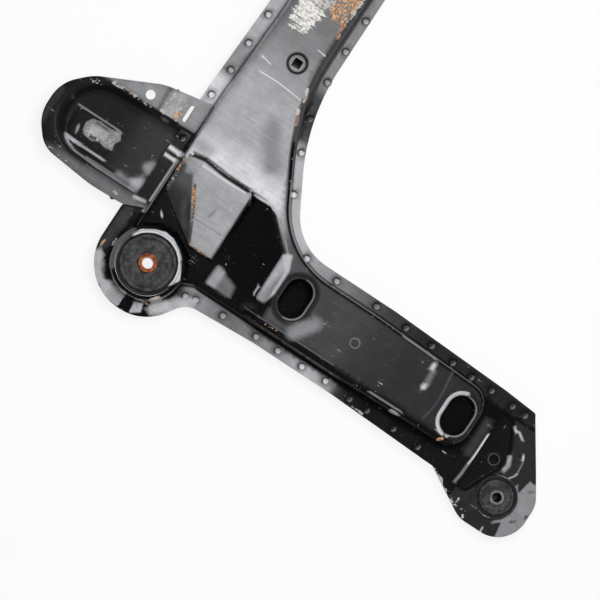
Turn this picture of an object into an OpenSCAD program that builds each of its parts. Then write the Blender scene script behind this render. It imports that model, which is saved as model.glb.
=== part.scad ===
// Front subframe of a car: two pressed shells welded along their flanges,
// with brackets, gussets and four rubber bushes.
// Plan places are given on the left half, from the centre of the corner bush:
// x runs along the crossmember to the middle of the car and y to the front.

/* [Frame] */
// Corner bush to the middle of the car
half_span = 400; // [380:5:450]
// Corner bush to rear bush, along the arm
arm_reach = 483; // [470:1:560]
// Sheet thickness of the shells
sheet = 2.5; // [1.5:0.1:3]
// Height of the seam between the two shells
seam_z = 30; // [28:1:40]
// Height of the hat section above the seam
section_h = 44; // [40:1:54]
// Height of the low floor at the corner above the seam
floor_h = 20; // [18:1:24]
// Depth of the lower shell below the seam
pan_depth = 18; // [10:1:20]
// Plan width of a sloping hat wall
wall_run = 3; // [2:0.5:5]
// Radius of the pressed upper edges
edge_r = 6; // [4:0.5:7]
// Radius at the foot of a hat wall
foot_r = 4; // [2:0.5:5]
// Width of the seam flange in front and outside
outer_flange = 17; // [14:0.5:20]
// Width of the seam flange inside the U
inner_flange = 14; // [11:0.5:16]

/* [Crossmember] */
// Front edge of the hat ahead of the corner bush
cross_front = 33; // [30:1:37]
// Rear edge of the hat behind the corner bush
cross_rear = 45; // [42:1:50]
// Set-back of the front edge at the middle of the car
cross_bow = 5; // [0:0.5:8]
// Left end of the hat, under the gusset
cross_end = 118; // [112:1:124]
// Place of the clip recess along the crossmember
clip_x = 283; // [240:1:340]
// Place of the clip recess behind the corner bush
clip_y = 17; // [5:1:20]
// Diameter of the clip recess
clip_d = 24; // [20:1:30]
// Side of the square clip hole
clip_hole = 11; // [8:0.5:13]

/* [Arm] */
// Outer edge of the arm's hat
arm_outer = 10; // [8:1:14]
// Inner edge of the arm's hat
arm_inner = 93; // [89:1:100]
// Where the arm's hat rises out of the corner floor
arm_start = 136; // [130:1:140]
// Where the arm begins to lean outwards, ahead of the rear bush
arm_bend = 228; // [200:1:250]
// Where the arm begins to fall, ahead of the rear bush
arm_fall = 138; // [120:1:150]
// Share of the section height left at the arm's end
end_share = 0.55; // [0.45:0.05:0.7]
// Land on each side of an oval hole, across the arm
oval_land = 16.5; // [15:0.5:20]
// Length of the oval holes along the arm
oval_l = 34; // [28:1:38]
// Radius of the rolled rim of an oval hole
oval_rim = 5; // [3:0.5:7]

/* [Corner bush] */
// Outer diameter of the welded corner tube
corner_tube_d = 75; // [72:1:80]
// Wall of the bush tubes
tube_wall = 3; // [2:0.5:4]
// Wall of the pressed-in outer sleeves
sleeve_wall = 2; // [1.5:0.25:3]
// Outer diameter of the corner inner sleeve
corner_core_d = 22; // [20:0.5:26]
// Bolt hole of the corner inner sleeve
corner_bolt_d = 12.5; // [10.5:0.5:15]
// Height of the corner inner sleeve
corner_core_h = 68; // [66:1:78]
// Height of the corner boss above the seam
boss_h = 30; // [28:1:36]

/* [Rear bush] */
// Rear bush outwards of the corner bush
rear_out = 5; // [0:1:10]
// Outer diameter of the welded rear tube
rear_tube_d = 50; // [46:1:54]
// Outer diameter of the rear inner sleeve
rear_core_d = 17; // [15:0.5:20]
// Bolt hole of the rear inner sleeve
rear_bolt_d = 10; // [8.5:0.5:12.5]
// Height of the rear inner sleeve
rear_core_h = 44; // [42:1:52]

/* [End bracket] */
// Sheet thickness of the end bracket
end_sheet = 3; // [2:0.5:4]
// Depth of the pocket in front of the rear bush
pocket_depth = 7; // [4:0.5:9]
// Downward bend of the rear lip in degrees
lip_bend = 14; // [5:1:20]
// Diameter of the pressed dimple in the pocket
dimple_d = 10; // [6:1:12]
// Depth of the pressed dimple in the pocket
dimple_depth = 3; // [1:0.5:4]

/* [Control arm bracket] */
// Sheet thickness of the bracket
bracket_sheet = 3; // [2:0.5:4]
// Height of the bracket's rim above the seam
rim_h = 14; // [11:0.5:14]
// Depth of the dish below its rim
dish_depth = 26; // [18:1:34]
// Front of the bracket ahead of the corner bush
bracket_front = 197; // [180:1:220]
// Left edge of the bracket's rim
bracket_left = 40; // [37:1:44]
// Left edge of the dish
dish_left = 58; // [56:1:64]
// Right edge of the dish
dish_right = 149; // [140:1:152]
// Bolt hole in the wide flange
flange_hole_d = 11; // [8:0.5:13]
// Length of the slot beside the crossmember
slot_l = 20; // [14:1:22]
// Width of the slot beside the crossmember
slot_w = 5; // [3:0.5:6]
// Height of the worn boss in the dish
emboss_h = 4; // [2:0.5:6]

/* [Gusset] */
// Sheet thickness of the gusset
gusset_sheet = 2.5; // [2:0.5:4]
// Left edge of the gusset
gusset_left = 43; // [42:1:48]
// Height of the gusset's left edge above the corner floor
gusset_rise = 10; // [8:0.5:14]

/* [Hidden] */

// Gap left between pieces that are welded or seated
seat_gap = 0.3;
// Overshoot of a cut past the face it opens
over = 1;
// Thickness of a slice inside a hull
slice_t = 0.01;
// Depth by which a hat starts inside its flange plate
sunk = 0.05;
// Steps along each rounded corner of an outline
arc_steps = 5;
// Steps along the rounded upper edge of a hat
edge_steps = 3;
// Steps along the rounded foot of a hat
foot_steps = 2;
$fn = 48;

// Heights
flange_top = seam_z + sheet;
hat_top = seam_z + section_h;
floor_top = seam_z + floor_h;
boss_top = seam_z + boss_h;
pan_bottom = seam_z - pan_depth - sheet;

// A wall is as steep on the low floor as on the full hat
wall_slope = wall_run / (hat_top - edge_r - flange_top - foot_r);
floor_run = wall_slope * (floor_top - edge_r - flange_top - foot_r);
boss_run = 1;

// Plan edges of the flanges
front_edge = cross_front + wall_run + outer_flange;
rear_edge = cross_rear + wall_run + inner_flange;
arm_out_edge = arm_outer - wall_run - outer_flange;
arm_in_edge = arm_inner + wall_run + inner_flange;
corner_tube_r = corner_tube_d / 2;
rear_tube_r = rear_tube_d / 2;
boss_r = corner_tube_r + edge_r;
corner_r = boss_r + boss_run + outer_flange;

// Stations along the arm, from the rear bush forwards
rear_y = -arm_reach;
fall_y = rear_y + arm_fall;
bend_y = rear_y + arm_bend;
hat_end_y = rear_y + 68;
shell_end_y = rear_y + 46;
waist_y = rear_y + 81;
pan_end_y = rear_y + 87;
lip_y = rear_y - 24;
rear_lobe = 45;

// The arm's flanges lean outwards by this much towards its end
lean = 5;
// The top stays level this far past the corner where the arm starts to fall
fall_blend = 4;

// Whole part about its own middle
front_y = bracket_front;
back_y = rear_y - rear_lobe;
shift_y = -(front_y + back_y) / 2;

// Geometry helpers

function unit(v) = v / norm(v);
function turn(u, w) = u.x * w.y - u.y * w.x;
function plan(c) = [c.x, c.y];
function before(list, i) = list[(i + len(list) - 1) % len(list)];
function after(list, i) = list[(i + 1) % len(list)];
function flipped(corners) = [
    for (i = [len(corners) - 1 : -1 : 0]) [2 * half_span - corners[i].x, corners[i].y, corners[i][2]]
];

// A full-width outline from the corners of its left half
function both_sides(half) = concat(half, flipped(half));

// Points of one rounded corner [x, y, radius] between its neighbours
function corner_arc(p, c, n, steps) =
    let (
        u = unit(plan(p) - plan(c)),
        w = unit(plan(n) - plan(c)),
        half = acos(u * w) / 2,
        middle = plan(c) + unit(u + w) * c[2] / sin(half),
        first = plan(c) + u * c[2] / tan(half) - middle,
        last = plan(c) + w * c[2] / tan(half) - middle,
        sweep = atan2(turn(first, last), first * last),
        start = atan2(first.y, first.x)
    )
    [for (k = [0 : steps]) middle + c[2] * [cos(start + sweep * k / steps), sin(start + sweep * k / steps)]];

function rounded(corners, steps = arc_steps) = [
    for (i = [0 : len(corners) - 1])
        each corner_arc(before(corners, i), corners[i], after(corners, i), steps)
];

// A counter-clockwise corner list moved inwards by d
function inset(corners, d) = [
    for (i = [0 : len(corners) - 1])
        let (
            c = corners[i],
            a = unit(plan(c) - plan(before(corners, i))),
            b = unit(plan(after(corners, i)) - plan(c)),
            na = [-a.y, a.x],
            nb = [-b.y, b.x],
            moved = plan(c) + (na + nb) * d / (1 + na * nb),
            radius = turn(a, b) > 0 ? c[2] - d : c[2] + d
        )
        [moved.x, moved.y, max(radius, 0.6)]
];

// Section of a hat from its foot to its top as [inset, height];
// depth 0 is the outer skin and depth sheet the inner, hidden one
function hat_section(run, top, depth) =
    let (
        coarser = depth > 0 ? 1 : 0,
        foots = foot_steps - coarser,
        edges = edge_steps - coarser,
        foot_z = flange_top + foot_r - sunk,
        foot = [
            for (k = [0 : foots]) let (a = 90 * k / foots)
                [(foot_r + depth) * sin(a) - run - foot_r, foot_z - (foot_r + depth) * cos(a)]
        ],
        edge = [
            for (k = [0 : edges]) let (a = 90 * k / edges)
                [edge_r - (edge_r - depth) * cos(a), top - edge_r + (edge_r - depth) * sin(a)]
        ],
        below = depth > 0 ? seam_z - over : seam_z + sunk
    )
    concat([[foot[0].x, below]], foot, edge);

// Share of the height that is left at station y of the falling arm
function arm_share(y) =
    y > fall_y - fall_blend ? 1
        : 1 - (1 - end_share) * (fall_y - fall_blend - y) / (fall_y - hat_end_y);
function arm_height(y) = flange_top + (hat_top - flange_top) * arm_share(y);

// Solid through the rings of one outline at several insets and heights.
// falls holds pairs of corners between which the top follows arm_share;
// there the top is a ladder of strips from side to side
module loft(corners, section, falls = []) {
    per_corner = arc_steps + 1;
    spans = [for (f = falls) [f[0] * per_corner + arc_steps, f[1] * per_corner]];
    rings = [
        for (s = section)
            [for (p = rounded(inset(corners, s.x)))
                [p.x, p.y, len(falls) > 0 && s.y > flange_top
                    ? flange_top + (s.y - flange_top) * arm_share(p.y) : s.y]]
    ];
    n = len(rings[0]);
    last = (len(rings) - 1) * n;
    sides = [
        for (k = [0 : len(rings) - 2], i = [0 : n - 1])
            [k * n + i, (k + 1) * n + i, (k + 1) * n + (i + 1) % n, k * n + (i + 1) % n]
    ];
    flat_top = [
        for (i = [n - 1 : -1 : 0])
            if (len([for (f = spans) if (i > f[0] && i < f[1]) i]) == 0) last + i
    ];
    ladders = [
        for (f = spans, j = [0 : (f[1] - f[0] - 1) / 2 - 1])
            [last + f[1] - j, last + f[1] - j - 1, last + f[0] + j + 1, last + f[0] + j]
    ];
    bottom = [for (i = [0 : n - 1]) i];
    polyhedron([for (r = rings) each r], concat([bottom], sides, [flat_top], ladders), convexity = 6);
}

module left_side() {
    translate([-half_span, shift_y, 0])
        children();
}

module right_side() {
    mirror([1, 0, 0])
        left_side()
            children();
}

module both() {
    left_side()
        children();
    right_side()
        children();
}

// Outlines on the left half, counter-clockwise, as [x, y, corner radius]

// The front edge bows back between these two places
bow_from = 205;
bow_to = 330;
bow_r = 300;

// The flange round the front and the outside, shared by both shells
flange_start = [
    [bow_to, front_edge - cross_bow, bow_r],
    [bow_from, front_edge, bow_r],
    [62, front_edge, 10],
    [40, corner_r, 10],
    [-corner_r, corner_r, corner_r],
    [-corner_r, -0.52 * corner_r, corner_r - 4],
    [arm_out_edge - lean, -corner_r - 2, 25],
    [arm_out_edge, -150, 200],
    [arm_out_edge, bend_y, 200]
];
// The flange round the inside of the U
flange_finish = [
    [arm_in_edge, bend_y - 15, 200],
    [arm_in_edge, -rear_edge - 72, 68],
    [239, -rear_edge, 260]
];
waist = [arm_out_edge - lean, waist_y, 4];
rear_hip = [-48.5, rear_y + 23, 35];
rear_inner = [arm_in_edge - lean - 4.5, rear_y + 14.5, 4];
rear_knee = [arm_in_edge - lean - 1, rear_y + 58, 200];
tongue_x = arm_in_edge - 28;

function on_edge(a, b, y) = a.x + (b.x - a.x) * (y - a.y) / (b.y - a.y);
arm_out_last = flange_start[len(flange_start) - 1];
out_end_x = on_edge(arm_out_last, waist, pan_end_y);
in_end_x = on_edge(flange_finish[0], rear_knee, pan_end_y);

upper_flange = concat(
    flange_start,
    [
        waist,
        [on_edge(waist, rear_hip, shell_end_y), shell_end_y, 3],
        [tongue_x, shell_end_y, 8],
        [tongue_x, rear_y + 4, 1],
        rear_inner,
        rear_knee
    ],
    flange_finish
);
lower_flange = concat(
    flange_start,
    [[out_end_x, pan_end_y, 1], [in_end_x, pan_end_y, 1]],
    flange_finish
);

// The full-height hat of the crossmember and the arm, as one ridge
frame_hat = [
    [bow_to, cross_front - cross_bow, bow_r],
    [bow_from, cross_front, bow_r],
    [cross_end, cross_front, 8],
    [cross_end + 12, -56, 15],
    [cross_end + 12, -81, 25],
    [arm_inner - 12, -arm_start + 2, 12],
    [arm_outer, -arm_start, 8],
    [arm_outer, bend_y, 150],
    [arm_outer + 1, fall_y, 100],
    [arm_outer + 2, hat_end_y, 25],
    [arm_inner - lean, hat_end_y, 25],
    [arm_inner - lean + 2, fall_y, 100],
    [arm_inner, bend_y, 150],
    [arm_inner, -cross_rear - 82, 100],
    [243, -cross_rear, 260]
];
// Corners of frame_hat between which the arm falls, on the left and right
fall_corners = [[8, 11], [18, 21]];
// The floor's walls stay just behind those of the hat that they run into
floor_behind = 0.25;
floor_front = cross_front + wall_run - floor_run - floor_behind;
floor_left = arm_outer - wall_run + floor_run + floor_behind;
floor_hat = [
    [0, floor_front, 3],
    [0, -boss_r, 8],
    [floor_left, -boss_r - 16, 20],
    [floor_left, -arm_start - 14, 3],
    [arm_inner - 10, -arm_start - 14, 3],
    [cross_end - 14, -arm_start + 18, 10],
    [cross_end + 32, -80, 6],
    [cross_end + 32, floor_front, 3]
];
boss_hat = [
    [-boss_r, boss_r, boss_r - 0.01],
    [-boss_r, -boss_r, boss_r - 0.01],
    [boss_r, -boss_r, boss_r - 0.01],
    [boss_r, boss_r, boss_r - 0.01]
];

// All hats as one solid, outside (depth 0) or inside (depth sheet)
module hats(depth) {
    translate([-half_span, shift_y, 0])
        loft(both_sides(frame_hat), hat_section(wall_run, hat_top, depth), fall_corners);
    both() {
        loft(floor_hat, hat_section(floor_run, floor_top, depth));
        loft(boss_hat, hat_section(boss_run, boss_top, depth));
    }
}

module flange_plate(half, bottom) {
    translate([-half_span, shift_y, bottom])
        linear_extrude(sheet)
            polygon(rounded(both_sides(half)));
}

// The oval holes are as wide as the arm leaves them, a little off its middle
oval_w = arm_inner - arm_outer - 2 * oval_land;
arm_mid = (arm_outer + arm_inner) / 2;
front_oval = [arm_mid + 6.5, -163];
rear_oval = [arm_mid - 3.5, rear_y + 91];

// Upright oval plate, wider across the arm than along it
module oval(grow, z) {
    w = oval_w / 2 - oval_l / 2;
    for (side = [-1, 1])
        translate([side * w, 0, z])
            cylinder(r = oval_l / 2 + grow, h = slice_t, $fn = 24);
}

// Funnel that rolls the edge of an oval hole downwards
module oval_funnel(grow, top, bottom) {
    hull() {
        oval(grow + oval_rim, top);
        oval(grow, bottom);
    }
}

end_slope = atan((arm_height(fall_y) - arm_height(hat_end_y)) / (fall_y - hat_end_y));

// Places the children on top of the arm at each oval hole
module at_ovals() {
    both() {
        translate([front_oval.x, front_oval.y, hat_top])
            children();
        translate([rear_oval.x, rear_oval.y, arm_height(rear_oval.y)])
            rotate([end_slope, 0, 0])
                children();
    }
}

module at_clips() {
    both()
        translate([clip_x, -clip_y, hat_top])
            children();
}

clip_drop = 3;

// Sub-parts

module upper_shell() {
    color("dimgray")
        difference() {
            union() {
                difference() {
                    union() {
                        flange_plate(upper_flange, seam_z);
                        hats(0);
                    }
                    hats(sheet);
                }
                at_ovals()
                    oval_funnel(sheet, -sheet / 2, -oval_rim - sheet);
                at_clips()
                    translate([0, 0, -clip_drop - sheet])
                        cylinder(d = clip_d + 2 * sheet, h = clip_drop + sheet / 2);
            }
            at_ovals() {
                oval_funnel(0, slice_t, -oval_rim);
                hull() {
                    oval(0, over);
                    oval(0, -oval_rim - 3 * sheet);
                }
            }
            at_clips() {
                translate([0, 0, -clip_drop])
                    cylinder(d1 = clip_d - 2 * clip_drop, d2 = clip_d, h = clip_drop + slice_t);
                cube([clip_hole, clip_hole, 8 * sheet], center = true);
            }
            both()
                translate([0, 0, floor_top])
                    cylinder(r = corner_tube_r + seat_gap, h = boss_h);
        }
}

// One convex part of the pan; grow thickens it by the sheet
module pan_part(corners, grow) {
    hull() {
        translate([0, 0, seam_z - slice_t])
            linear_extrude(grow > 0 ? slice_t : over)
                polygon(rounded(inset(corners, -grow)));
        translate([0, 0, seam_z - pan_depth - grow + edge_r / 2])
            linear_extrude(slice_t)
                polygon(rounded(inset(corners, wall_run / 2 - grow)));
        translate([0, 0, seam_z - pan_depth - grow])
            linear_extrude(slice_t)
                polygon(rounded(inset(corners, wall_run / 2 + edge_r / 2 - grow)));
    }
}

pan_front = cross_front + wall_run - 2;
pan_rear = cross_rear + wall_run - 2;
pan_out = arm_outer - wall_run + 2;
pan_in = arm_inner + wall_run - 2;
// The pan widens over the inner corner of the U, out to this place
pan_brace_x = 238;
pan_knee = [200, -pan_rear - 18];

module pan(grow) {
    translate([-half_span, shift_y, 0])
        pan_part(both_sides([[20, pan_front, 8], [20, -pan_rear, 8]]), grow);
    both() {
        pan_part([
            [pan_out, -20, 8],
            [pan_out, pan_end_y + 18, 15],
            [pan_in - lean, pan_end_y + 18, 15],
            [pan_in, bend_y, 60],
            [pan_in, -20, 8]
        ], grow);
        pan_part([
            [20, 0, 10],
            [20, -150, 10],
            [pan_in, -150, 10],
            [pan_knee.x, pan_knee.y, 20],
            [pan_brace_x, 0, 10]
        ], grow);
        pan_part([
            [-boss_r, boss_r - 6, boss_r - 8],
            [-boss_r, -boss_r, boss_r - 8],
            [boss_r, -boss_r, boss_r - 8],
            [boss_r, boss_r - 6, boss_r - 8]
        ], grow);
    }
}

module lower_shell() {
    color("dimgray")
        difference() {
            union() {
                flange_plate(lower_flange, seam_z - sheet);
                pan(sheet);
            }
            pan(0);
            both()
                translate([0, 0, pan_bottom - over])
                    cylinder(r = corner_tube_r + seat_gap, h = seam_z);
        }
}

// Control arm bracket: a dish with a rim; its floor runs on under the crossmember's flange

rim_top = seam_z + rim_h;
dish_floor = rim_top - dish_depth;
dish_draft = 5;

bracket_rim = [
    [bracket_left + 13, cross_front, 1],
    [bracket_left + 153, cross_front, 1],
    [bracket_left + 142, 95, 60],
    [bracket_left + 105.5, bracket_front - 27, 60],
    [bracket_left + 78, bracket_front, 45],
    [bracket_left + 36, bracket_front, 45],
    [bracket_left + 6, bracket_front - 24, 35],
    [bracket_left - 1, 105, 150],
    [bracket_left + 0.5, 62, 25]
];
dish = [
    [dish_left, 0, 1],
    [dish_right + 6, 0, 1],
    [dish_right - 3, bracket_front - 17, 46],
    [dish_left + 2, bracket_front - 17, 40]
];

module dish_solid(grow, top) {
    hull() {
        translate([0, 0, top])
            linear_extrude(slice_t)
                polygon(rounded(inset(dish, -grow)));
        translate([0, 0, dish_floor - grow + edge_r])
            linear_extrude(slice_t)
                polygon(rounded(inset(dish, dish_draft - grow)));
        translate([0, 0, dish_floor - grow])
            linear_extrude(slice_t)
                polygon(rounded(inset(dish, dish_draft + edge_r - grow)));
    }
}

emboss_w = 36;
emboss_from = 107;
emboss_to = 165;

// Raised pad on the dish floor; grow is the sheet for the outer skin
module emboss(grow) {
    mid = (dish_left + dish_right) / 2 - 13;
    hull() {
        translate([mid - emboss_w / 2 - grow, emboss_from - grow, dish_floor - bracket_sheet])
            cube([emboss_w + 2 * grow, emboss_to - emboss_from + 2 * grow, slice_t]);
        translate([mid - emboss_w / 2 + 4 - grow, emboss_from + 8 - grow, dish_floor - bracket_sheet])
            cube([emboss_w - 8 + 2 * grow, emboss_to - emboss_from - 16 + 2 * grow, emboss_h + grow]);
    }
}

// The front of the hat with its seat gap, against which the bracket's legs end
module front_wall() {
    rotate([90, 0, 90])
        linear_extrude(half_span)
            polygon(concat(
                [[-half_span, hat_top], [-half_span, -over], [cross_front, -over]],
                [for (s = hat_section(wall_run, hat_top, -seat_gap)) [cross_front - s.x, s.y]]
            ));
}

flange_hole = [163, 103];
slot = [168, front_edge + 1.5];

module control_arm_bracket() {
    color("black")
        difference() {
            union() {
                difference() {
                    union() {
                        translate([0, 0, rim_top - bracket_sheet])
                            linear_extrude(bracket_sheet)
                                polygon(rounded(bracket_rim));
                        dish_solid(bracket_sheet, rim_top - slice_t);
                    }
                    dish_solid(0, rim_top);
                }
                emboss(bracket_sheet);
            }
            emboss(0);
            front_wall();
            translate([0, 0, seam_z - sheet - seat_gap])
                linear_extrude(2 * (sheet + seat_gap))
                    polygon(rounded(inset(both_sides(lower_flange), -seat_gap)));
            translate([0, 0, -over])
                cube([half_span, pan_front + sheet + seat_gap, seam_z]);
            translate([flange_hole.x, flange_hole.y, 0])
                cylinder(d = flange_hole_d, h = 2 * rim_top);
            for (side = [-1, 1])
                translate([slot.x + side * (slot_l - slot_w) / 2, slot.y, flange_top])
                    cylinder(d = slot_w, h = rim_top);
            translate([slot.x - (slot_l - slot_w) / 2, slot.y - slot_w / 2, flange_top])
                cube([slot_l - slot_w, slot_w, rim_top]);
        }
}

// Gusset: a tab on the crossmember, a sloping face, a shoulder and two walls

gusset_top = hat_top + gusset_sheet;
gusset_low = floor_top + gusset_rise;

function gusset_z(x) =
    gusset_low + (gusset_top - gusset_low) * (x - gusset_left) / (cross_end - gusset_left);
function lift(x, y) = [x, y, gusset_z(x)];

// One flat face of the folded sheet between points on its upper side
module facet(points) {
    hull()
        for (p = points)
            translate(p - [0, 0, gusset_sheet / 2])
                sphere(d = gusset_sheet, $fn = 8);
}

module gusset() {
    rear = -57;
    foot = -62;
    foot_z = floor_top + gusset_sheet;
    shoulder = [80, 25, foot_z];
    ridge = lift(105, 8);
    tip = lift(gusset_left, -30);
    heel = lift(gusset_left, -53);
    rear_end = lift(cross_end, rear);
    bend = lift(cross_end, 12);
    front_end = lift(cross_end, cross_front - edge_r);
    color("gray")
        union() {
            facet([
                rear_end, [cross_end + 13, -50, gusset_top], [cross_end + 15, 14, gusset_top],
                [cross_end + 12, cross_front - edge_r, gusset_top], front_end
            ]);
            facet([rear_end, bend, ridge]);
            facet([rear_end, ridge, tip, heel]);
            facet([bend, front_end, shoulder]);
            facet([bend, shoulder, ridge]);
            facet([ridge, shoulder, tip]);
            facet([[gusset_left, foot, foot_z], [cross_end, foot, foot_z], rear_end, heel]);
            facet([[gusset_left - 2, -30, foot_z], [gusset_left - 2, foot, foot_z], heel, tip]);
        }
}

// End bracket: plate with a pocket, a hole for the rear tube and a bent lip

end_outline = [
    [on_edge(arm_out_last, waist, pan_end_y - seat_gap), pan_end_y - seat_gap, 1],
    waist,
    rear_hip,
    [rear_hip.x, back_y, 38],
    [12, back_y, 30],
    rear_inner,
    rear_knee,
    [on_edge(flange_finish[0], rear_knee, pan_end_y - seat_gap), pan_end_y - seat_gap, 1]
];
pocket = [
    [-20, shell_end_y + 12, 6],
    [-20, rear_y + 33, 8],
    [24, rear_y + 13, 8],
    [48, rear_y + 13, 10],
    [tongue_x, rear_y + 30, 10],
    [tongue_x, shell_end_y + 12, 6]
];
dimple = [30, rear_y + 25, seam_z - pocket_depth - dimple_depth];

module pocket_solid(grow) {
    hull() {
        translate([0, 0, seam_z - (grow > 0 ? slice_t : 0)])
            linear_extrude(slice_t)
                polygon(rounded(inset(pocket, -grow)));
        translate([0, 0, seam_z - pocket_depth - grow])
            linear_extrude(slice_t)
                polygon(rounded(inset(pocket, pocket_depth / 2 - grow)));
    }
}

// The plate from its side, between two stations, bent down behind the rear bush
function bent_side(from, to) =
    let (
        drop = tan(lip_bend) * (lip_y - to),
        inner_bend = lip_y + end_sheet * tan(lip_bend / 2)
    )
    [
        [from, seam_z],
        [lip_y, seam_z],
        [to, seam_z - drop],
        [to, seam_z - drop - end_sheet / cos(lip_bend)],
        [inner_bend, seam_z - end_sheet],
        [from, seam_z - end_sheet]
    ];

module end_plate() {
    intersection() {
        linear_extrude(2 * seam_z)
            polygon(rounded(end_outline));
        translate([-half_span, 0, 0])
            rotate([90, 0, 90])
                linear_extrude(2 * half_span)
                    polygon(bent_side(pan_end_y + over, back_y - over));
    }
}

module end_bracket() {
    color("black")
        difference() {
            union() {
                end_plate();
                pocket_solid(end_sheet);
                translate(dimple - [0, 0, end_sheet])
                    cylinder(d = dimple_d + 2 * end_sheet, h = pocket_depth);
            }
            pocket_solid(0);
            translate(dimple)
                cylinder(d = dimple_d, h = seam_z);
            translate([-rear_out, rear_y, 0])
                cylinder(r = rear_tube_r + seat_gap, h = 2 * seam_z);
        }
}

// Bush pieces, each turned about its own axis

module ring(outer_r, inner_r, bottom, top) {
    translate([0, 0, bottom])
        difference() {
            cylinder(r = outer_r, h = top - bottom);
            translate([0, 0, -over])
                cylinder(r = inner_r, h = top - bottom + 2 * over);
        }
}

// Moulded rubber: a thick middle with a raised lip and a groove at each face
module rubber(outer_r, inner_r, bottom, top) {
    lip = 3;
    groove = 4;
    mid = (inner_r + outer_r) / 2;
    rotate_extrude()
        polygon([
            [inner_r, bottom + groove], [mid, bottom + groove], [outer_r - 2 * lip, bottom],
            [outer_r - lip, bottom], [outer_r, bottom + lip], [outer_r, top - lip],
            [outer_r - lip, top], [outer_r - 2 * lip, top], [mid, top - groove], [inner_r, top - groove]
        ]);
}

corner_tube_top = boss_top + 2;
corner_tube_bottom = pan_bottom - 2;
rear_tube_top = seam_z + 6;
rear_tube_bottom = seam_z - 18;
rubber_gap = 3;

module corner_bush_tube() {
    color("dimgray")
        ring(corner_tube_r, corner_tube_r - tube_wall, corner_tube_bottom, corner_tube_top);
}

module corner_bush_outer_sleeve() {
    color("silver")
        ring(corner_tube_r - tube_wall, corner_tube_r - tube_wall - sleeve_wall,
            corner_tube_bottom, corner_tube_top);
}

module corner_bush_rubber() {
    color("darkslategray")
        rubber(corner_tube_r - tube_wall - sleeve_wall, corner_core_d / 2,
            corner_tube_bottom - rubber_gap, corner_tube_top + rubber_gap);
}

module corner_bush_inner_sleeve() {
    color("sienna")
        ring(corner_core_d / 2, corner_bolt_d / 2, 0, corner_core_h);
}

module at_rear() {
    translate([-rear_out, rear_y, 0])
        children();
}

module end_bush_tube() {
    color("black")
        at_rear()
            ring(rear_tube_r, rear_tube_r - tube_wall, rear_tube_bottom, rear_tube_top);
}

module end_bush_outer_sleeve() {
    color("silver")
        at_rear()
            ring(rear_tube_r - tube_wall, rear_tube_r - tube_wall - sleeve_wall,
                rear_tube_bottom, rear_tube_top);
}

module end_bush_rubber() {
    color("darkslategray")
        at_rear()
            rubber(rear_tube_r - tube_wall - sleeve_wall, rear_core_d / 2,
                rear_tube_bottom - rubber_gap, rear_tube_top + rubber_gap);
}

module end_bush_inner_sleeve() {
    color("gray")
        at_rear()
            ring(rear_core_d / 2, rear_bolt_d / 2, 0, rear_core_h);
}

upper_shell();
lower_shell();
left_side() control_arm_bracket();  // left_control_arm_bracket
right_side() control_arm_bracket();  // right_control_arm_bracket
left_side() gusset();  // left_gusset
right_side() gusset();  // right_gusset
left_side() end_bracket();  // left_end_bracket
right_side() end_bracket();  // right_end_bracket
left_side() corner_bush_tube();  // left_corner_bush_tube
right_side() corner_bush_tube();  // right_corner_bush_tube
left_side() corner_bush_outer_sleeve();  // left_corner_bush_outer_sleeve
right_side() corner_bush_outer_sleeve();  // right_corner_bush_outer_sleeve
left_side() corner_bush_rubber();  // left_corner_bush_rubber
right_side() corner_bush_rubber();  // right_corner_bush_rubber
left_side() corner_bush_inner_sleeve();  // left_corner_bush_inner_sleeve
right_side() corner_bush_inner_sleeve();  // right_corner_bush_inner_sleeve
left_side() end_bush_tube();  // left_end_bush_tube
right_side() end_bush_tube();  // right_end_bush_tube
left_side() end_bush_outer_sleeve();  // left_end_bush_outer_sleeve
right_side() end_bush_outer_sleeve();  // right_end_bush_outer_sleeve
left_side() end_bush_rubber();  // left_end_bush_rubber
right_side() end_bush_rubber();  // right_end_bush_rubber
left_side() end_bush_inner_sleeve();  // left_end_bush_inner_sleeve
right_side() end_bush_inner_sleeve();  // right_end_bush_inner_sleeve
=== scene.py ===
"""Looks of a worn, black-painted front subframe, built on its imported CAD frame.

Plan places are in millimetres from the centre of the left corner bush, as in the part's source:
x runs along the crossmember to the middle of the car, y to the front and z up.
"""
import logging
import math
from dataclasses import dataclass, field, replace
from enum import Enum
from typing import Any, Callable

import bpy
import numpy as np
from mathutils import Matrix, Vector
from mathutils.geometry import delaunay_2d_cdt


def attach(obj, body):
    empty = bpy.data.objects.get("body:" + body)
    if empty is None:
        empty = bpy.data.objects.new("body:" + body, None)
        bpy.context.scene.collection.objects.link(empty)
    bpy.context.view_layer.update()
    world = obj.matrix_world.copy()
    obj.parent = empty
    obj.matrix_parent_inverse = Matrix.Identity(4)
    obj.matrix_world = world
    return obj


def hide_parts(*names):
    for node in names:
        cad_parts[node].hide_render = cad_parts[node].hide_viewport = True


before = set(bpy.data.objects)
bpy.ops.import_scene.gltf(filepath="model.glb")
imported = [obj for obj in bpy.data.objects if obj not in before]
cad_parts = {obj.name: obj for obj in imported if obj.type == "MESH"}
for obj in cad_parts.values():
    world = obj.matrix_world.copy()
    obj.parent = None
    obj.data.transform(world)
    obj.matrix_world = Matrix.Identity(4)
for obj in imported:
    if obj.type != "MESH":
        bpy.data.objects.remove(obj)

LOG = logging.getLogger("subframe")
Points = np.ndarray
Spot = tuple[float, float]
Corner = tuple[float, float, float]

MM = 0.001
HALF_SPAN = 400.0
SHIFT_Y = 165.5
SEAM = 30.0
SHEET = 2.5
FLANGE = SEAM + SHEET
HAT_TOP = 74.0
FLOOR_TOP = 50.0
BOSS_TOP = 60.0
REAR_Y = -483.0
REAR_BUSH = (-5.0, REAR_Y)
DIMPLE_AT = (30.0, -458.0)
# Outlines that cross the car's middle run on to this x, and rings stop a little past the middle
BEYOND = 600.0
PAST_MIDDLE = 4.0
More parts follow.
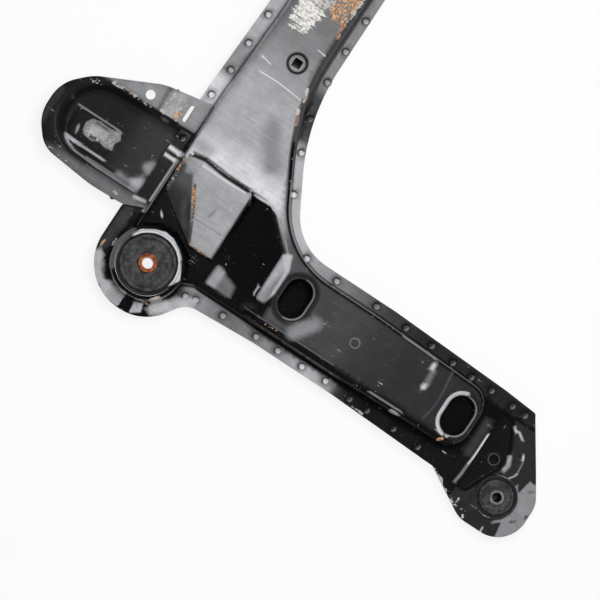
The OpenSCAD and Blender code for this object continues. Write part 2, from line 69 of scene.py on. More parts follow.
# Smallest radius of an inset corner, and the largest turn in one step of an arc
LEAST_R = 0.6
TURN_STEP = 0.3
# Spacing of the points that carry a mark's edge, and the widest edge that needs them
MARK_STEP = 1.8
MARK_WIDEST = 6.0


class Slot(Enum):
    """Material slots of the record."""

    PAINT = "black_paint"
    STEEL = "bush_steel"
    RUBBER = "bush_rubber"
    RUST = "rusty_steel"


class Wear(Enum):
    """Vertex attributes that the paint reads."""

    # Film stands for pale dust and haze, and also for painted sheen and highlights, and where it is low for
    # painted shade
    FILM_AND_SHEEN = "film"
    CHIP = "chip"
    BARE = "bare"
    RUST = "rust"
    MATT = "matt"


FILM_AND_SHEEN, CHIP, BARE, RUST, MATT = Wear


def srgb(code: str) -> tuple[float, float, float, float]:
    """Linear colour of an sRGB code.

    Args:
        code: colour as "#rrggbb".

    Returns:
        Linear red, green, blue and alpha.
    """
    parts = [int(code[i:i + 2], 16) / 255 for i in (1, 3, 5)]
    linear = [p / 12.92 if p <= 0.04045 else ((p + 0.055) / 1.055) ** 2.4 for p in parts]
    return (linear[0], linear[1], linear[2], 1.0)


def to_frame(points: Points) -> Points:
    """Points in the part's frame, in metres, from plan places in millimetres."""
    return (points + np.array([-HALF_SPAN, SHIFT_Y, 0.0])) * MM


def to_plan(points: Points) -> Points:
    """Plan places in millimetres from points in the part's frame."""
    return points / MM + np.array([HALF_SPAN, -SHIFT_Y, 0.0])


def ease(value: Points, low: float, high: float) -> Points:
    """Smooth step from 0 at low to 1 at high."""
    t = np.clip((value - low) / (high - low), 0.0, 1.0)
    return t * t * (3 - 2 * t)


def between_stops(value: Points, stops: tuple[Spot, ...]) -> Points:
    """Level at a value, straight between stops of (value, level)."""
    return np.interp(value, *zip(*stops))


def hump(value: Points, middle: float, width: float) -> Points:
    """A smooth hump of height 1 about a middle."""
    return np.exp(-((value - middle) / width) ** 2)


def soft_max(a: Points, b: Points, radius: float) -> Points:
    """The higher of two heights, with a fillet of about radius where they meet."""
    h = np.clip(0.5 + 0.5 * (a - b) / radius, 0.0, 1.0)
    return b + (a - b) * h + radius * h * (1 - h)


def soft_min(a: Points, b: Points, radius: float) -> Points:
    """The lower of two heights, with a fillet of about radius where they meet."""
    return -soft_max(-a, -b, radius)


def is_inside(loop: Points, at: Points) -> Points:
    """Which plan points lie inside a closed loop."""
    inside = np.zeros(len(at), bool)
    for (x0, y0), (x1, y1) in zip(loop, np.roll(loop, -1, axis=0)):
        if y0 != y1:
            crosses = (y0 > at[:, 1]) != (y1 > at[:, 1])
            inside ^= crosses & (at[:, 0] < x0 + (at[:, 1] - y0) * (x1 - x0) / (y1 - y0))
    return inside


def path_distance(path: Points, at: Points) -> Points:
    """Distance of plan points from an open path."""
    best = np.full(len(at), np.inf)
    ends = path[1:] if len(path) > 1 else path
    for (x0, y0), (x1, y1) in zip(path, ends):
        dx, dy = x1 - x0, y1 - y0
        t = np.clip(((at[:, 0] - x0) * dx + (at[:, 1] - y0) * dy) / max(dx * dx + dy * dy, 1e-9), 0.0, 1.0)
        best = np.minimum(best, (at[:, 0] - x0 - t * dx) ** 2 + (at[:, 1] - y0 - t * dy) ** 2)
    return np.sqrt(best)


def depth_inside(loop: Points, at: Points) -> Points:
    """Distance of plan points from a closed loop, positive inside it."""
    distance = path_distance(np.vstack([loop, loop[:1]]), at)
    return np.where(is_inside(loop, at), distance, -distance)


def along(path: Points, step: float) -> Points:
    """Points about step apart along an open path."""
    out = [path[:1]]
    for a, b in zip(path[:-1], path[1:]):
        n = max(1, math.ceil(float(np.linalg.norm(b - a)) / step))
        out.append(a + (b - a) * (np.arange(1, n + 1) / n)[:, None])
    return np.vstack(out)


def circle(centre: Spot, radius: float, count: int) -> Points:
    """Points of a circle, counter-clockwise."""
    a = 2 * math.pi * np.arange(count) / count
    return np.array(centre) + radius * np.column_stack([np.cos(a), np.sin(a)])


def as_path(points: Points, closed: bool = False) -> tuple[Spot, ...]:
    """Plan points as a path for a mark, closed on its first point if wanted."""
    spots = tuple(map(tuple, points.tolist()))
    return spots + spots[:1] if closed else spots


def left_half(ring: Points) -> Points:
    """The points of a ring up to just past the car's middle."""
    return ring[ring[:, 0] < HALF_SPAN + PAST_MIDDLE]


@dataclass(frozen=True)
class Outline:
    """Closed counter-clockwise plan outline with corners as (x, y, radius)."""

    corners: tuple[Corner, ...]

    def inset(self, by: float) -> "Outline":
        """The outline moved inwards by a distance."""
        c = np.array(self.corners, float)
        a = c[:, :2] - np.roll(c, 1, axis=0)[:, :2]
        b = np.roll(c, -1, axis=0)[:, :2] - c[:, :2]
        a /= np.linalg.norm(a, axis=1)[:, None]
        b /= np.linalg.norm(b, axis=1)[:, None]
        na = np.column_stack([-a[:, 1], a[:, 0]])
        nb = np.column_stack([-b[:, 1], b[:, 0]])
        moved = c[:, :2] + (na + nb) * (by / (1 + (na * nb).sum(axis=1)))[:, None]
        turns_left = a[:, 0] * b[:, 1] - a[:, 1] * b[:, 0] > 0
        radius = np.maximum(np.where(turns_left, c[:, 2] - by, c[:, 2] + by), LEAST_R)
        return Outline(tuple(map(tuple, np.column_stack([moved, radius]))))

    def points(self, step: float) -> Points:
        """Points along arcs and straights, about step apart."""
        c = np.array(self.corners, float)
        out: list[Points] = []
        for before, corner, after in zip(np.roll(c, 1, axis=0), c, np.roll(c, -1, axis=0)):
            u = (before - corner)[:2] / np.linalg.norm((before - corner)[:2])
            w = (after - corner)[:2] / np.linalg.norm((after - corner)[:2])
            half = math.acos(max(-1.0, min(1.0, float(u @ w)))) / 2
            r = corner[2]
            middle = corner[:2] + (u + w) / np.linalg.norm(u + w) * r / math.sin(half)
            first = corner[:2] + u * r / math.tan(half) - middle
            last = corner[:2] + w * r / math.tan(half) - middle
            sweep = math.atan2(first[0] * last[1] - first[1] * last[0], float(first @ last))
            start = math.atan2(first[1], first[0])
            n = max(2, math.ceil(abs(sweep) * r / step), math.ceil(abs(sweep) / TURN_STEP))
            a = start + sweep * np.arange(n + 1) / n
            out.append(middle + r * np.column_stack([np.cos(a), np.sin(a)]))
        loop = along(np.vstack(out + [out[0][:1]]), step)[:-1]
        return loop[np.linalg.norm(loop - np.roll(loop, 1, axis=0), axis=1) > 1e-6]


def rounded_box(centre: Spot, width: float, length: float, radius: float) -> Outline:
    """A box with rounded corners as an outline; a full radius makes it a slot or a circle."""
    x, y = centre
    a, b = width / 2, length / 2
    r = min(radius, a - 0.01, b - 0.01)
    return Outline(((x - a, y + b, r), (x - a, y - b, r), (x + a, y - b, r), (x + a, y + b, r)))


@dataclass(frozen=True)
class Draw:
    """Section of a pressed wall: height against the distance inside an outline."""

    base: float
    top: float
    foot_at: float
    edge_at: float
    foot_r: float
    edge_r: float
    arc_steps: int = 4

    def curve(self) -> tuple[Points, Points]:
        """Distances and heights along the section, foot to edge."""
        rise = self.top - self.base
        sign = math.copysign(1.0, rise)
        slope = math.atan2(abs(rise), self.edge_at - self.foot_at)
        a = slope * np.arange(self.arc_steps + 1) / self.arc_steps
        tangent = math.tan(slope / 2)
        foot_d = self.foot_at - self.foot_r * tangent + self.foot_r * np.sin(a)
        foot_z = self.base + sign * self.foot_r * (1 - np.cos(a))
        edge_d = self.edge_at + self.edge_r * tangent - self.edge_r * np.sin(a[::-1])
        edge_z = self.top - sign * self.edge_r * (1 - np.cos(a[::-1]))
        return np.concatenate([foot_d, edge_d]), np.concatenate([foot_z, edge_z])


@dataclass(frozen=True)
class Form:
    """A pressed form: an outline and the section of the wall round it."""

    outline: Outline
    draw: Draw

    def depth(self, at: Points) -> Points:
        """Distance inside the outline."""
        return depth_inside(self.outline.points(3.0), at)

    def height(self, at: Points) -> Points:
        """Height of the form at plan points."""
        return np.interp(self.depth(at), *self.draw.curve())

    def rings(self, step: float) -> list[Points]:
        """Rings of points that follow the section's bends."""
        return [self.outline.inset(d).points(step) for d in self.draw.curve()[0]]


@dataclass(frozen=True)
class Mark:
    """Wear, painted sheen and painted shade along a path or over an area, in plan.

    Film, with the painted sheen and shade it carries, sets its level where it lies; the other kinds add up to
    the strongest.
    """

    wear: Wear
    path: tuple[Spot, ...]
    reach: float
    level: float = 1.0
    soft: float = 2.0
    filled: bool = False
    both_sides: bool = True

    def cover(self, at: Points) -> Points:
        """Share of the mark at plan points."""
        path = np.array(self.path, float)
        distance = np.maximum(-depth_inside(path, at), 0.0) if self.filled else path_distance(path, at)
        return 1.0 - ease(distance, self.reach, self.reach + self.soft)

    def rings(self) -> list[Points]:
        """Points that carry the mark's edge in the mesh."""
        path = np.array(self.path, float)
        if len(path) < 2 or self.reach + self.soft > MARK_WIDEST:
            return []
        line = along(np.vstack([path, path[:1]]) if self.filled else path, MARK_STEP)
        way = np.gradient(line, axis=0)
        way /= np.linalg.norm(way, axis=1)[:, None] + 1e-9
        side = np.column_stack([-way[:, 1], way[:, 0]])
        return [line] + [line + side * s * (self.reach + self.soft) for s in (-1, 1)]


def one_side(*marks: Mark) -> list[Mark]:
    """The marks, on the left half only."""
    return [replace(mark, both_sides=False) for mark in marks]


def thinned(groups: list[tuple[Points, float, float]]) -> tuple[Points, list[tuple[int, int]]]:
    """Points of the groups in order, each kept only if it is clear of those kept before.

    Args:
        groups: points, the gap they need, and how many usual steps a link along them may span.

    Returns:
        The kept points, and the links between neighbours in a group.
    """
    cell = max(gap for _, gap, _ in groups)
    kept: list[Spot] = []
    links: list[tuple[int, int]] = []
    cells: dict[tuple[int, int], list[int]] = {}
    for points, gap, span in groups:
        steps = np.linalg.norm(np.roll(points, -1, axis=0) - points, axis=1)
        reach = span * float(np.median(steps))
        places: list[int] = []
        for x, y in points.tolist():
            i, j = int(x // cell), int(y // cell)
            near = (k for a in (-1, 0, 1) for b in (-1, 0, 1) for k in cells.get((i + a, j + b), ()))
            if all((kept[k][0] - x) ** 2 + (kept[k][1] - y) ** 2 >= gap * gap for k in near):
                cells.setdefault((i, j), []).append(len(kept))
                places.append(len(kept))
                kept.append((x, y))
            else:
                places.append(-1)
        links += [(a, b) for a, b, s in zip(places, places[1:] + places[:1], steps)
                  if min(a, b) >= 0 and a != b and s < reach]
    return np.array(kept), links


def activate(obj: bpy.types.Object) -> bpy.types.Object:
    """Makes one object the only selected one and the active one."""
    bpy.ops.object.select_all(action="DESELECT")
    obj.select_set(True)
    bpy.context.view_layer.objects.active = obj
    return obj


def joined(objs: list[bpy.types.Object]) -> bpy.types.Object:
    """The objects as one, named as the first."""
    activate(objs[0])
    for obj in objs:
        obj.select_set(True)
    if len(objs) > 1:
        bpy.ops.object.join()
    return objs[0]


def modified(obj: bpy.types.Object, kind: str, **settings: Any) -> None:
    """Adds a modifier and applies it."""
    made = obj.modifiers.new(kind.lower(), kind)
    for key, value in settings.items():
        setattr(made, key, value)
    activate(obj)
    bpy.ops.object.modifier_apply(modifier=made.name)


def smoothed(obj: bpy.types.Object, degrees: float = 35.0) -> bpy.types.Object:
    """Shades an object smooth but for its sharp edges."""
    activate(obj)
    bpy.ops.object.shade_smooth_by_angle(angle=math.radians(degrees))
    return obj


def mirror_copy(obj: bpy.types.Object, name: str) -> bpy.types.Object:
    """The object's mirror image on the right of the car."""
    copy = obj.copy()
    copy.data = obj.data.copy()
    copy.name = name
    copy.data.name = name
    bpy.context.scene.collection.objects.link(copy)
    copy.data.transform(Matrix.Scale(-1.0, 4, (1.0, 0.0, 0.0)))
    copy.data.flip_normals()
    return copy


@dataclass
class Sheet:
    """A pressed sheet, meshed over its plan and lifted to its height.

    A draw with fillets all round is a height over a plan, which no chain of edit-mode operators gives,
    so the plan is triangulated along the bends. Thickness and edge rounding are modifiers.
    """

    name: str
    edge: Points
    height: Callable[[Points], Points]
    thickness: float
    holes: list[Points] = field(default_factory=list)
    rings: list[Points] = field(default_factory=list)
    marks: list[Mark] = field(default_factory=list)
    spacing: float = 6.0
    mirrored: bool = False
    edge_round: float = 0.45
    # How far points keep from the sheet's edges and from earlier points, and the reach of a ring's links
    ring_clear: float = 0.4
    ring_gap: float = 0.15
    ring_span: float = 1.7
    mark_clear: float = 0.8
    mark_gap: float = 0.55
    grid_clear: float = 1.0
    grid_share: float = 0.62
    row_share: float = 0.87

    def grid(self) -> Points:
        """Staggered rows of points over the sheet's box."""
        low, high = self.edge.min(axis=0), self.edge.max(axis=0)
        rows = []
        for k, y in enumerate(np.arange(low[1], high[1], self.spacing * self.row_share)):
            x = np.arange(low[0] + (k % 2) * self.spacing / 2, high[0], self.spacing)
            rows.append(np.column_stack([x, np.full(len(x), y)]))
        return np.vstack(rows)

    def plan(self) -> tuple[Points, list[tuple[int, int, int]]]:
        """Plan points and triangles."""
        groups = [(loop, 0.0, math.inf) for loop in (self.edge, *self.holes)]
        groups += [(self.within(ring, self.ring_clear), self.ring_gap, self.ring_span) for ring in self.rings]
        carried = [ring for mark in self.marks for ring in mark.rings()]
        groups += [(self.within(ring, self.mark_clear), self.mark_gap, 0.0) for ring in carried]
        groups.append((self.within(self.grid(), self.grid_clear), self.spacing * self.grid_share, 0.0))
        points, links = thinned([g for g in groups if len(g[0])])
        found = delaunay_2d_cdt([Vector(p) for p in points], links, [], 0, 1e-6)
        plan = np.array([(v.x, v.y) for v in found[0]])
        faces = np.array([f for f in found[2] if len(f) == 3])
        a, b, c = (plan[faces[:, k]] for k in range(3))
        turn = (b[:, 0] - a[:, 0]) * (c[:, 1] - a[:, 1]) - (b[:, 1] - a[:, 1]) * (c[:, 0] - a[:, 0])
        faces[turn < 0] = faces[turn < 0][:, ::-1]
        middle = (a + b + c) / 3
        keep = is_inside(self.edge, middle) & (np.abs(turn) > 1e-7)
        for hole in self.holes:
            keep &= ~is_inside(hole, middle)
        return plan, [tuple(int(i) for i in f) for f in faces[keep]]

    def within(self, at: Points, margin: float) -> Points:
        """Those points that lie in the sheet, clear of its edges."""
        if not len(at):
            return at
        keep = depth_inside(self.edge, at) > margin
        for hole in self.holes:
            keep &= depth_inside(hole, at) < -margin
        return at[keep]

    def build(self) -> bpy.types.Object:
        """The sheet as a mesh object with its thickness."""
        plan, faces = self.plan()
        space = to_frame(np.column_stack([plan, self.height(plan)]))
        mesh = bpy.data.meshes.new(self.name)
        mesh.from_pydata(space.tolist(), [], faces)
        obj = bpy.data.objects.new(self.name, mesh)
        bpy.context.scene.collection.objects.link(obj)
        if self.mirrored:
            modified(obj, "MIRROR", merge_threshold=1e-5)
        modified(obj, "SOLIDIFY", thickness=self.thickness * MM, offset=-1.0)
        modified(obj, "BEVEL", width=self.edge_round * MM, segments=2, limit_method="ANGLE",
                 angle_limit=math.radians(60), use_clamp_overlap=True)
        return smoothed(obj)


@dataclass(frozen=True)
class Bead:
    """A run of weld with ripples along a path in space."""

    path: tuple[Corner, ...]
    radius: float = 2.2
    pitch: float = 1.7
    seed: int = 3
    ripple: float = 0.16
    wander: Corner = (0.35, 0.35, 0.105)
    end_share: float = 0.55

    def build(self) -> bpy.types.Object:
        """The bead as a mesh object."""
        spots = along(np.array(self.path), self.pitch)
        rng = np.random.default_rng(self.seed)
        size = 1.0 + self.ripple * np.cos(np.arange(len(spots)) * math.pi)
        size += rng.uniform(-self.ripple, self.ripple, len(spots))
        size[[0, -1]] *= self.end_share
        spots = spots + rng.uniform(-1.0, 1.0, spots.shape) * np.array(self.wander)
        bpy.ops.object.select_all(action="DESELECT")
        bpy.ops.curve.primitive_nurbs_path_add()
        obj = bpy.context.object
        curve = obj.data
        curve.splines.clear()
        spline = curve.splines.new("POLY")
        spline.points.add(len(spots) - 1)
        for point, spot, scale in zip(spline.points, to_frame(spots), size):
            point.co = (*spot, 1.0)
            point.radius = scale
        curve.dimensions = "3D"
        curve.bevel_depth = self.radius * MM
        curve.bevel_resolution = 3
        curve.use_fill_caps = True
        activate(obj)
        bpy.ops.object.convert(target="MESH")
        return smoothed(obj, 60.0)


def turned(name: str, profile: list[Spot], at: Spot, count: int = 96) -> bpy.types.Object:
    """A ring turned about an upright axis, one extruded circle after another.

    Args:
        name: the object's name.
        profile: closed section as (radius, z), counter-clockwise.
        at: plan place of the axis.
        count: points round the axis.

    Returns:
        The mesh object.
    """
    x, y, _ = to_frame(np.array([*at, 0.0])).tolist()
    bpy.ops.object.select_all(action="DESELECT")
    r, z = profile[0]
    bpy.ops.mesh.primitive_circle_add(vertices=count, radius=r * MM, location=(x, y, z * MM))
    obj = bpy.context.object
    obj.name = name
    bpy.ops.object.mode_set(mode="EDIT")
    bpy.ops.mesh.select_all(action="SELECT")
    for r2, z2 in [*profile[1:], profile[0]]:
        bpy.ops.mesh.extrude_region_move(TRANSFORM_OT_translate={"value": (0.0, 0.0, (z2 - z) * MM)})
        bpy.ops.transform.resize(value=(r2 / r, r2 / r, 1.0), center_override=(x, y, z2 * MM))
        r, z = r2, z2
    bpy.ops.mesh.select_all(action="SELECT")
    bpy.ops.mesh.remove_doubles(threshold=1e-6)
    bpy.ops.mesh.normals_make_consistent(inside=False)
    bpy.ops.object.mode_set(mode="OBJECT")
    bpy.ops.object.transform_apply(location=True, rotation=True, scale=True)
    obj.data.name = name
    return smoothed(obj, 40.0)


def paint_wear(obj: bpy.types.Object, marks: list[Mark], film: Callable[[Points], Points],
               chip: Callable[[Points], Points] | None = None) -> None:
    """Writes the wear attributes of a piece, with its painted sheen and shade.

    Args:
        obj: the piece.
        marks: its marks.
        film: level of the pale film and painted sheen at places in space.
        chip: share of chipped paint at places in space.
    """
    count = len(obj.data.vertices)
    flat = np.empty(count * 3)
    obj.data.vertices.foreach_get("co", flat)
    space = to_plan(flat.reshape(-1, 3))
    right = space[:, 0] > HALF_SPAN
    space[right, 0] = 2 * HALF_SPAN - space[right, 0]
    values = {wear: np.zeros(count) for wear in Wear}
    values[FILM_AND_SHEEN] = film(space)
    if chip is not None:
        values[CHIP] = chip(space)
    for mark in marks:
        cover = mark.cover(space[:, :2])
        if not mark.both_sides:
            cover[right] = 0.0
        if mark.wear is FILM_AND_SHEEN:
            values[FILM_AND_SHEEN] += (mark.level - values[FILM_AND_SHEEN]) * cover
        else:
            values[mark.wear] = np.maximum(values[mark.wear], mark.level * cover)
    for wear, value in values.items():
        layer = obj.data.attributes.new(wear.value, "FLOAT", "POINT")
        layer.data.foreach_set("value", value.astype(np.float32))


def dressed(sheet: Sheet, film: Callable[[Points], Points], beads: tuple[Bead, ...] = (),
            chip: Callable[[Points], Points] | None = None) -> bpy.types.Object:
    """A sheet with its beads of weld, its wear and its painted sheen and shade, as one piece."""
    obj = joined([sheet.build(), *(bead.build() for bead in beads)])
    paint_wear(obj, sheet.marks, film, chip)
    return obj


def no_film_or_sheen(space: Points) -> Points:
    """No film and no painted sheen anywhere."""
    return np.zeros(len(space))


Grain = tuple[Any, float]


class Graph:
    """Node tree of one material."""

    def __init__(self, name: str) -> None:
        self.material = bpy.data.materials.new(name)
        self.material.use_nodes = True
        self.tree = self.material.node_tree
        self.tree.nodes.clear()
        self.place = self.add("TexCoord", {}, "Object")

    def add(self, kind: str, inputs: dict[Any, Any], out: int | str = 0, **settings: Any) -> Any:
        """Adds a node with its settings and links.

        Args:
            kind: node type without its common prefix.
            inputs: sockets or values by input.
            out: the output that is wanted.
            settings: settings of the node.

        Returns:
            That output's socket, or nothing for a node without outputs.
        """
        node = self.tree.nodes.new("ShaderNode" + kind)
        for key, value in settings.items():
            setattr(node, key, value)
        for key, value in inputs.items():
            if isinstance(value, bpy.types.NodeSocket):
                self.tree.links.new(value, node.inputs[key])
            else:
                node.inputs[key].default_value = value
        return node.outputs[out] if len(node.outputs) else None

    def grain(self, size: float, detail: float, stretch: Corner = (1.0, 1.0, 1.0)) -> Any:
        """A random pattern with a grain in millimetres, scaled along the axes by shares."""
        scale = tuple(s / (size * MM) for s in stretch)
        place = self.add("Mapping", {"Vector": self.place, "Scale": scale})
        return self.add("TexNoise", {"Vector": place, "Scale": 1.0, "Detail": detail, "Roughness": 0.6})

    def varied(self, level: Any, *grains: Grain) -> Any:
        """A level that each pattern raises and lowers by its share."""
        for pattern, share in grains:
            change = self.add("Math", {0: pattern, 1: share, 2: 1.0 - share / 2}, operation="MULTIPLY_ADD")
            level = self.add("Math", {0: level, 1: change}, operation="MULTIPLY")
        return level

    def ragged(self, level: Any, low: float, high: float, *grains: Grain) -> Any:
        """A step of a level from low to high, its edge broken up by patterns."""
        for pattern, share in grains:
            level = self.add("Math", {0: pattern, 1: share, 2: level}, operation="MULTIPLY_ADD")
            low, high = low + share / 2, high + share / 2
        return self.add("MapRange", {"Value": level, "From Min": low, "From Max": high},
                        interpolation_type="SMOOTHSTEP")

    def coats(self, colour: Any, *layers: tuple[Any, Any]) -> Any:
        """A colour under layers of (share, colour), the last on top."""
        for share, over in layers:
            colour = self.add("Mix", {0: share, 6: colour, 7: over}, 2, data_type="RGBA")
        return colour

    def finish(self, inputs: dict[str, Any], bump: Any, depth: float) -> bpy.types.Material:
        """Closes the tree with a bumped surface.

        Args:
            inputs: inputs of the surface.
            bump: height pattern.
            depth: its depth in millimetres.

        Returns:
            The material.
        """
        normal = self.add("Bump", {"Height": bump, "Distance": depth * MM, "Strength": 1.0})
        surface = self.add("BsdfPrincipled", {**inputs, "Normal": normal})
        self.add("OutputMaterial", {"Surface": surface})
        return self.material


@dataclass(frozen=True)
class BlackPaint:
    """Sprayed black paint on pressed steel, old and worn."""

    black: str = "#08080a"
    # Pale colour of the dust and haze, which also paints sheen and highlights
    haze_and_sheen: str = "#e3e4e8"
    primer: str = "#8d6c5a"
    steel: str = "#b9b7b3"
    scrape: str = "#ece9e4"
    rust: str = "#935f3c"
    rust_pale: str = "#d4ab84"
    rust_dark: str = "#2f211a"
    # Grain of each pattern in millimetres
    cloud_mm: float = 70.0
    mottle_mm: float = 14.0
    fine_mm: float = 3.5
    speck_mm: float = 1.5
    streak_mm: float = 2.6
    streak_stretch: Corner = (1.0, 0.09, 0.5)
    dust: float = 0.16
    roughness: float = 0.24
    broken_roughness: float = 0.6
    specular: float = 0.35
    coat: float = 0.3
    coat_roughness: float = 0.1
    skin: float = 0.15
    broken_drop: float = 0.7
    relief_mm: float = 0.3

    def material(self) -> bpy.types.Material:
        """The paint as a material."""
        # A smooth, rather glossy black under a pale film of dust and dull haze in clouds and streaks, which
        # also paints sheen and highlights; chips show primer and grey steel, scrapes bright metal, and rust
        # comes through in speckles.
        g = Graph("sprayed_black_paint_on_pressed_steel")
        cloud, mottle = g.grain(self.cloud_mm, 3), g.grain(self.mottle_mm, 5)
        fine, speck = g.grain(self.fine_mm, 4), g.grain(self.speck_mm, 3)
        streak = g.grain(self.streak_mm, 4, self.streak_stretch)
        wear = {w: g.add("Attribute", {}, "Fac", attribute_name=w.value) for w in Wear}
        film = g.varied(wear[FILM_AND_SHEEN], (cloud, 0.5), (mottle, 0.6), (streak, 0.5), (speck, 0.4))
        chips = g.ragged(wear[CHIP], 0.5, 0.58, (fine, 1.6), (mottle, 1.2))
        bare = g.ragged(wear[BARE], 0.5, 0.62, (streak, 2.2), (speck, 0.6), (mottle, 0.8))
        rust = g.ragged(wear[RUST], 0.5, 0.72, (mottle, 1.3), (fine, 1.3), (speck, 1.0))
        dust = g.ragged(0.0, 0.2, 0.26, (speck, 0.9), (mottle, 0.5))
        metal = g.coats(srgb(self.steel), (g.ragged(fine, 0.4, 0.58), srgb(self.scrape)))
        chipped = g.coats(srgb(self.primer), (g.ragged(mottle, 0.42, 0.54), srgb(self.steel)))
        rusty = g.coats(srgb(self.rust), (g.ragged(fine, 0.38, 0.62), srgb(self.rust_pale)),
                        (g.ragged(speck, 0.58, 0.66), srgb(self.rust_dark)))
        colour = g.coats(srgb(self.black), (film, srgb(self.haze_and_sheen)),
                         (g.add("Math", {0: dust, 1: self.dust}, operation="MULTIPLY"), srgb(self.haze_and_sheen)),
                         (bare, metal), (chips, chipped), (rust, rusty))
        broken = g.add("Math", {0: chips, 1: bare}, operation="MAXIMUM")
        broken = g.add("Math", {0: broken, 1: rust}, operation="MAXIMUM")
        gloss = g.varied(self.roughness, (mottle, 0.5))
        rough = g.add("Mix", {0: broken, 2: gloss, 3: self.broken_roughness})
        skin = g.varied(self.skin, (fine, 1.0))
        height = g.add("Math", {0: broken, 1: -self.broken_drop, 2: skin}, operation="MULTIPLY_ADD")
        # Where the paint is matt, it mirrors nothing
        shine, coat = (g.add("Mix", {0: wear[MATT], 2: v, 3: 0.0}) for v in (self.specular, self.coat))
        return g.finish({"Base Color": colour, "Roughness": rough, "Specular IOR Level": shine,
                         "Coat Weight": coat, "Coat Roughness": self.coat_roughness}, height, self.relief_mm)


@dataclass(frozen=True)
class TurnedSteel:
    """Turned steel, dull, grimy or rusted."""

    name: str
    light: str
    dark: str
    stain: str
    stained: float
    roughness: float
    metallic: float
    stained_metallic: float = 0.05
    broad_mm: float = 12.0
    mottle_mm: float = 4.0
    fine_mm: float = 1.4
    relief_mm: float = 0.2

    def material(self) -> bpy.types.Material:
        """The steel as a material."""
        # Bare metal has lost its shine: cloudy grey or brown in patches, with a fine rough grain.
        g = Graph(self.name)
        broad, mottle, fine = g.grain(self.broad_mm, 4), g.grain(self.mottle_mm, 5), g.grain(self.fine_mm, 4)
        # The rust attribute brings in the stain colour: real stains, and in the rear bush's dark bore a
        # painted shade
        soil = g.add("Attribute", {}, "Fac", attribute_name=RUST.value)
        soil = g.add("Math", {0: soil, 1: self.stained})
        stains = g.ragged(soil, 0.4, 0.65, (broad, 1.3))
        patches = g.ragged(mottle, 0.38, 0.62)
        colour = g.coats(srgb(self.dark), (patches, srgb(self.light)), (stains, srgb(self.stain)))
        rough = g.varied(self.roughness, (fine, 0.3))
        metallic = g.add("Mix", {0: stains, 2: self.metallic, 3: self.stained_metallic})
        return g.finish({"Base Color": colour, "Roughness": rough, "Metallic": metallic}, fine,
                        self.relief_mm)


@dataclass(frozen=True)
class MouldedRubber:
    """Old moulded rubber with a greyish bloom."""

    black: str = "#333334"
    bloom: str = "#545456"
    roughness: float = 0.65
    broad_mm: float = 16.0
    mottle_mm: float = 4.0
    fine_mm: float = 1.0
    relief_mm: float = 0.15

    def material(self) -> bpy.types.Material:
        """The rubber as a material."""
        # Matt and dark grey, with a chalky bloom in soft clouds and a faint pitted skin.
        g = Graph("moulded_natural_rubber")
        broad, mottle, fine = g.grain(self.broad_mm, 3), g.grain(self.mottle_mm, 4), g.grain(self.fine_mm, 3)
        bloom = g.ragged(broad, 0.3, 0.7, (mottle, 0.8))
        colour = g.coats(srgb(self.black), (bloom, srgb(self.bloom)))
        rough = g.varied(self.roughness, (mottle, 0.3))
        return g.finish({"Base Color": colour, "Roughness": rough}, fine, self.relief_mm)


def ready(obj: bpy.types.Object, slot: Slot, material: bpy.types.Material, *nodes: str) -> None:
    """Gives a piece its finish and its place in the frame, and reports it."""
    obj.data.materials.clear()
    obj.data.materials.append(material)
    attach(obj, "root")
    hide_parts(*nodes)
    LOG.info("%s: %d faces, %s", obj.name, len(obj.data.polygons), material.name)


# Plan outlines shared by the shells, on the left half
FLANGE_OUT: tuple[Corner, ...] = (
    (330, 48, 300), (205, 53, 300), (62, 53, 10), (40, 61.5, 10), (-61.5, 61.5, 61.4), (-61.5, -32, 57.5),
    (-15, -63.5, 25), (-10, -150, 200), (-10, -255, 200),
)
FLANGE_IN: tuple[Corner, ...] = ((110, -270, 200), (110, -134, 68), (239, -62, 260))
FRONT_AT_MIDDLE = 48.0
REAR_AT_MIDDLE = -62.0
WAIST = (-15, -402, 4)
REAR_HIP = (-48.5, -460, 35)
REAR_INNER = (100.5, -468.5, 4)
REAR_KNEE = (104, -425, 200)
TONGUE_X = 82.0
SHELL_END = -437.0
PAN_END = -396.0


def half_loop(corners: tuple[Corner, ...], step: float) -> Points:
    """Left half of a full-width outline, closed along the car's middle.

    Args:
        corners: corners of the left half.
        step: spacing of the points.

    Returns:
        The loop, counter-clockwise.
    """
    middle = ((HALF_SPAN, REAR_AT_MIDDLE, 0.01), (HALF_SPAN, FRONT_AT_MIDDLE, 0.01))
    return Outline(corners + middle).points(step)


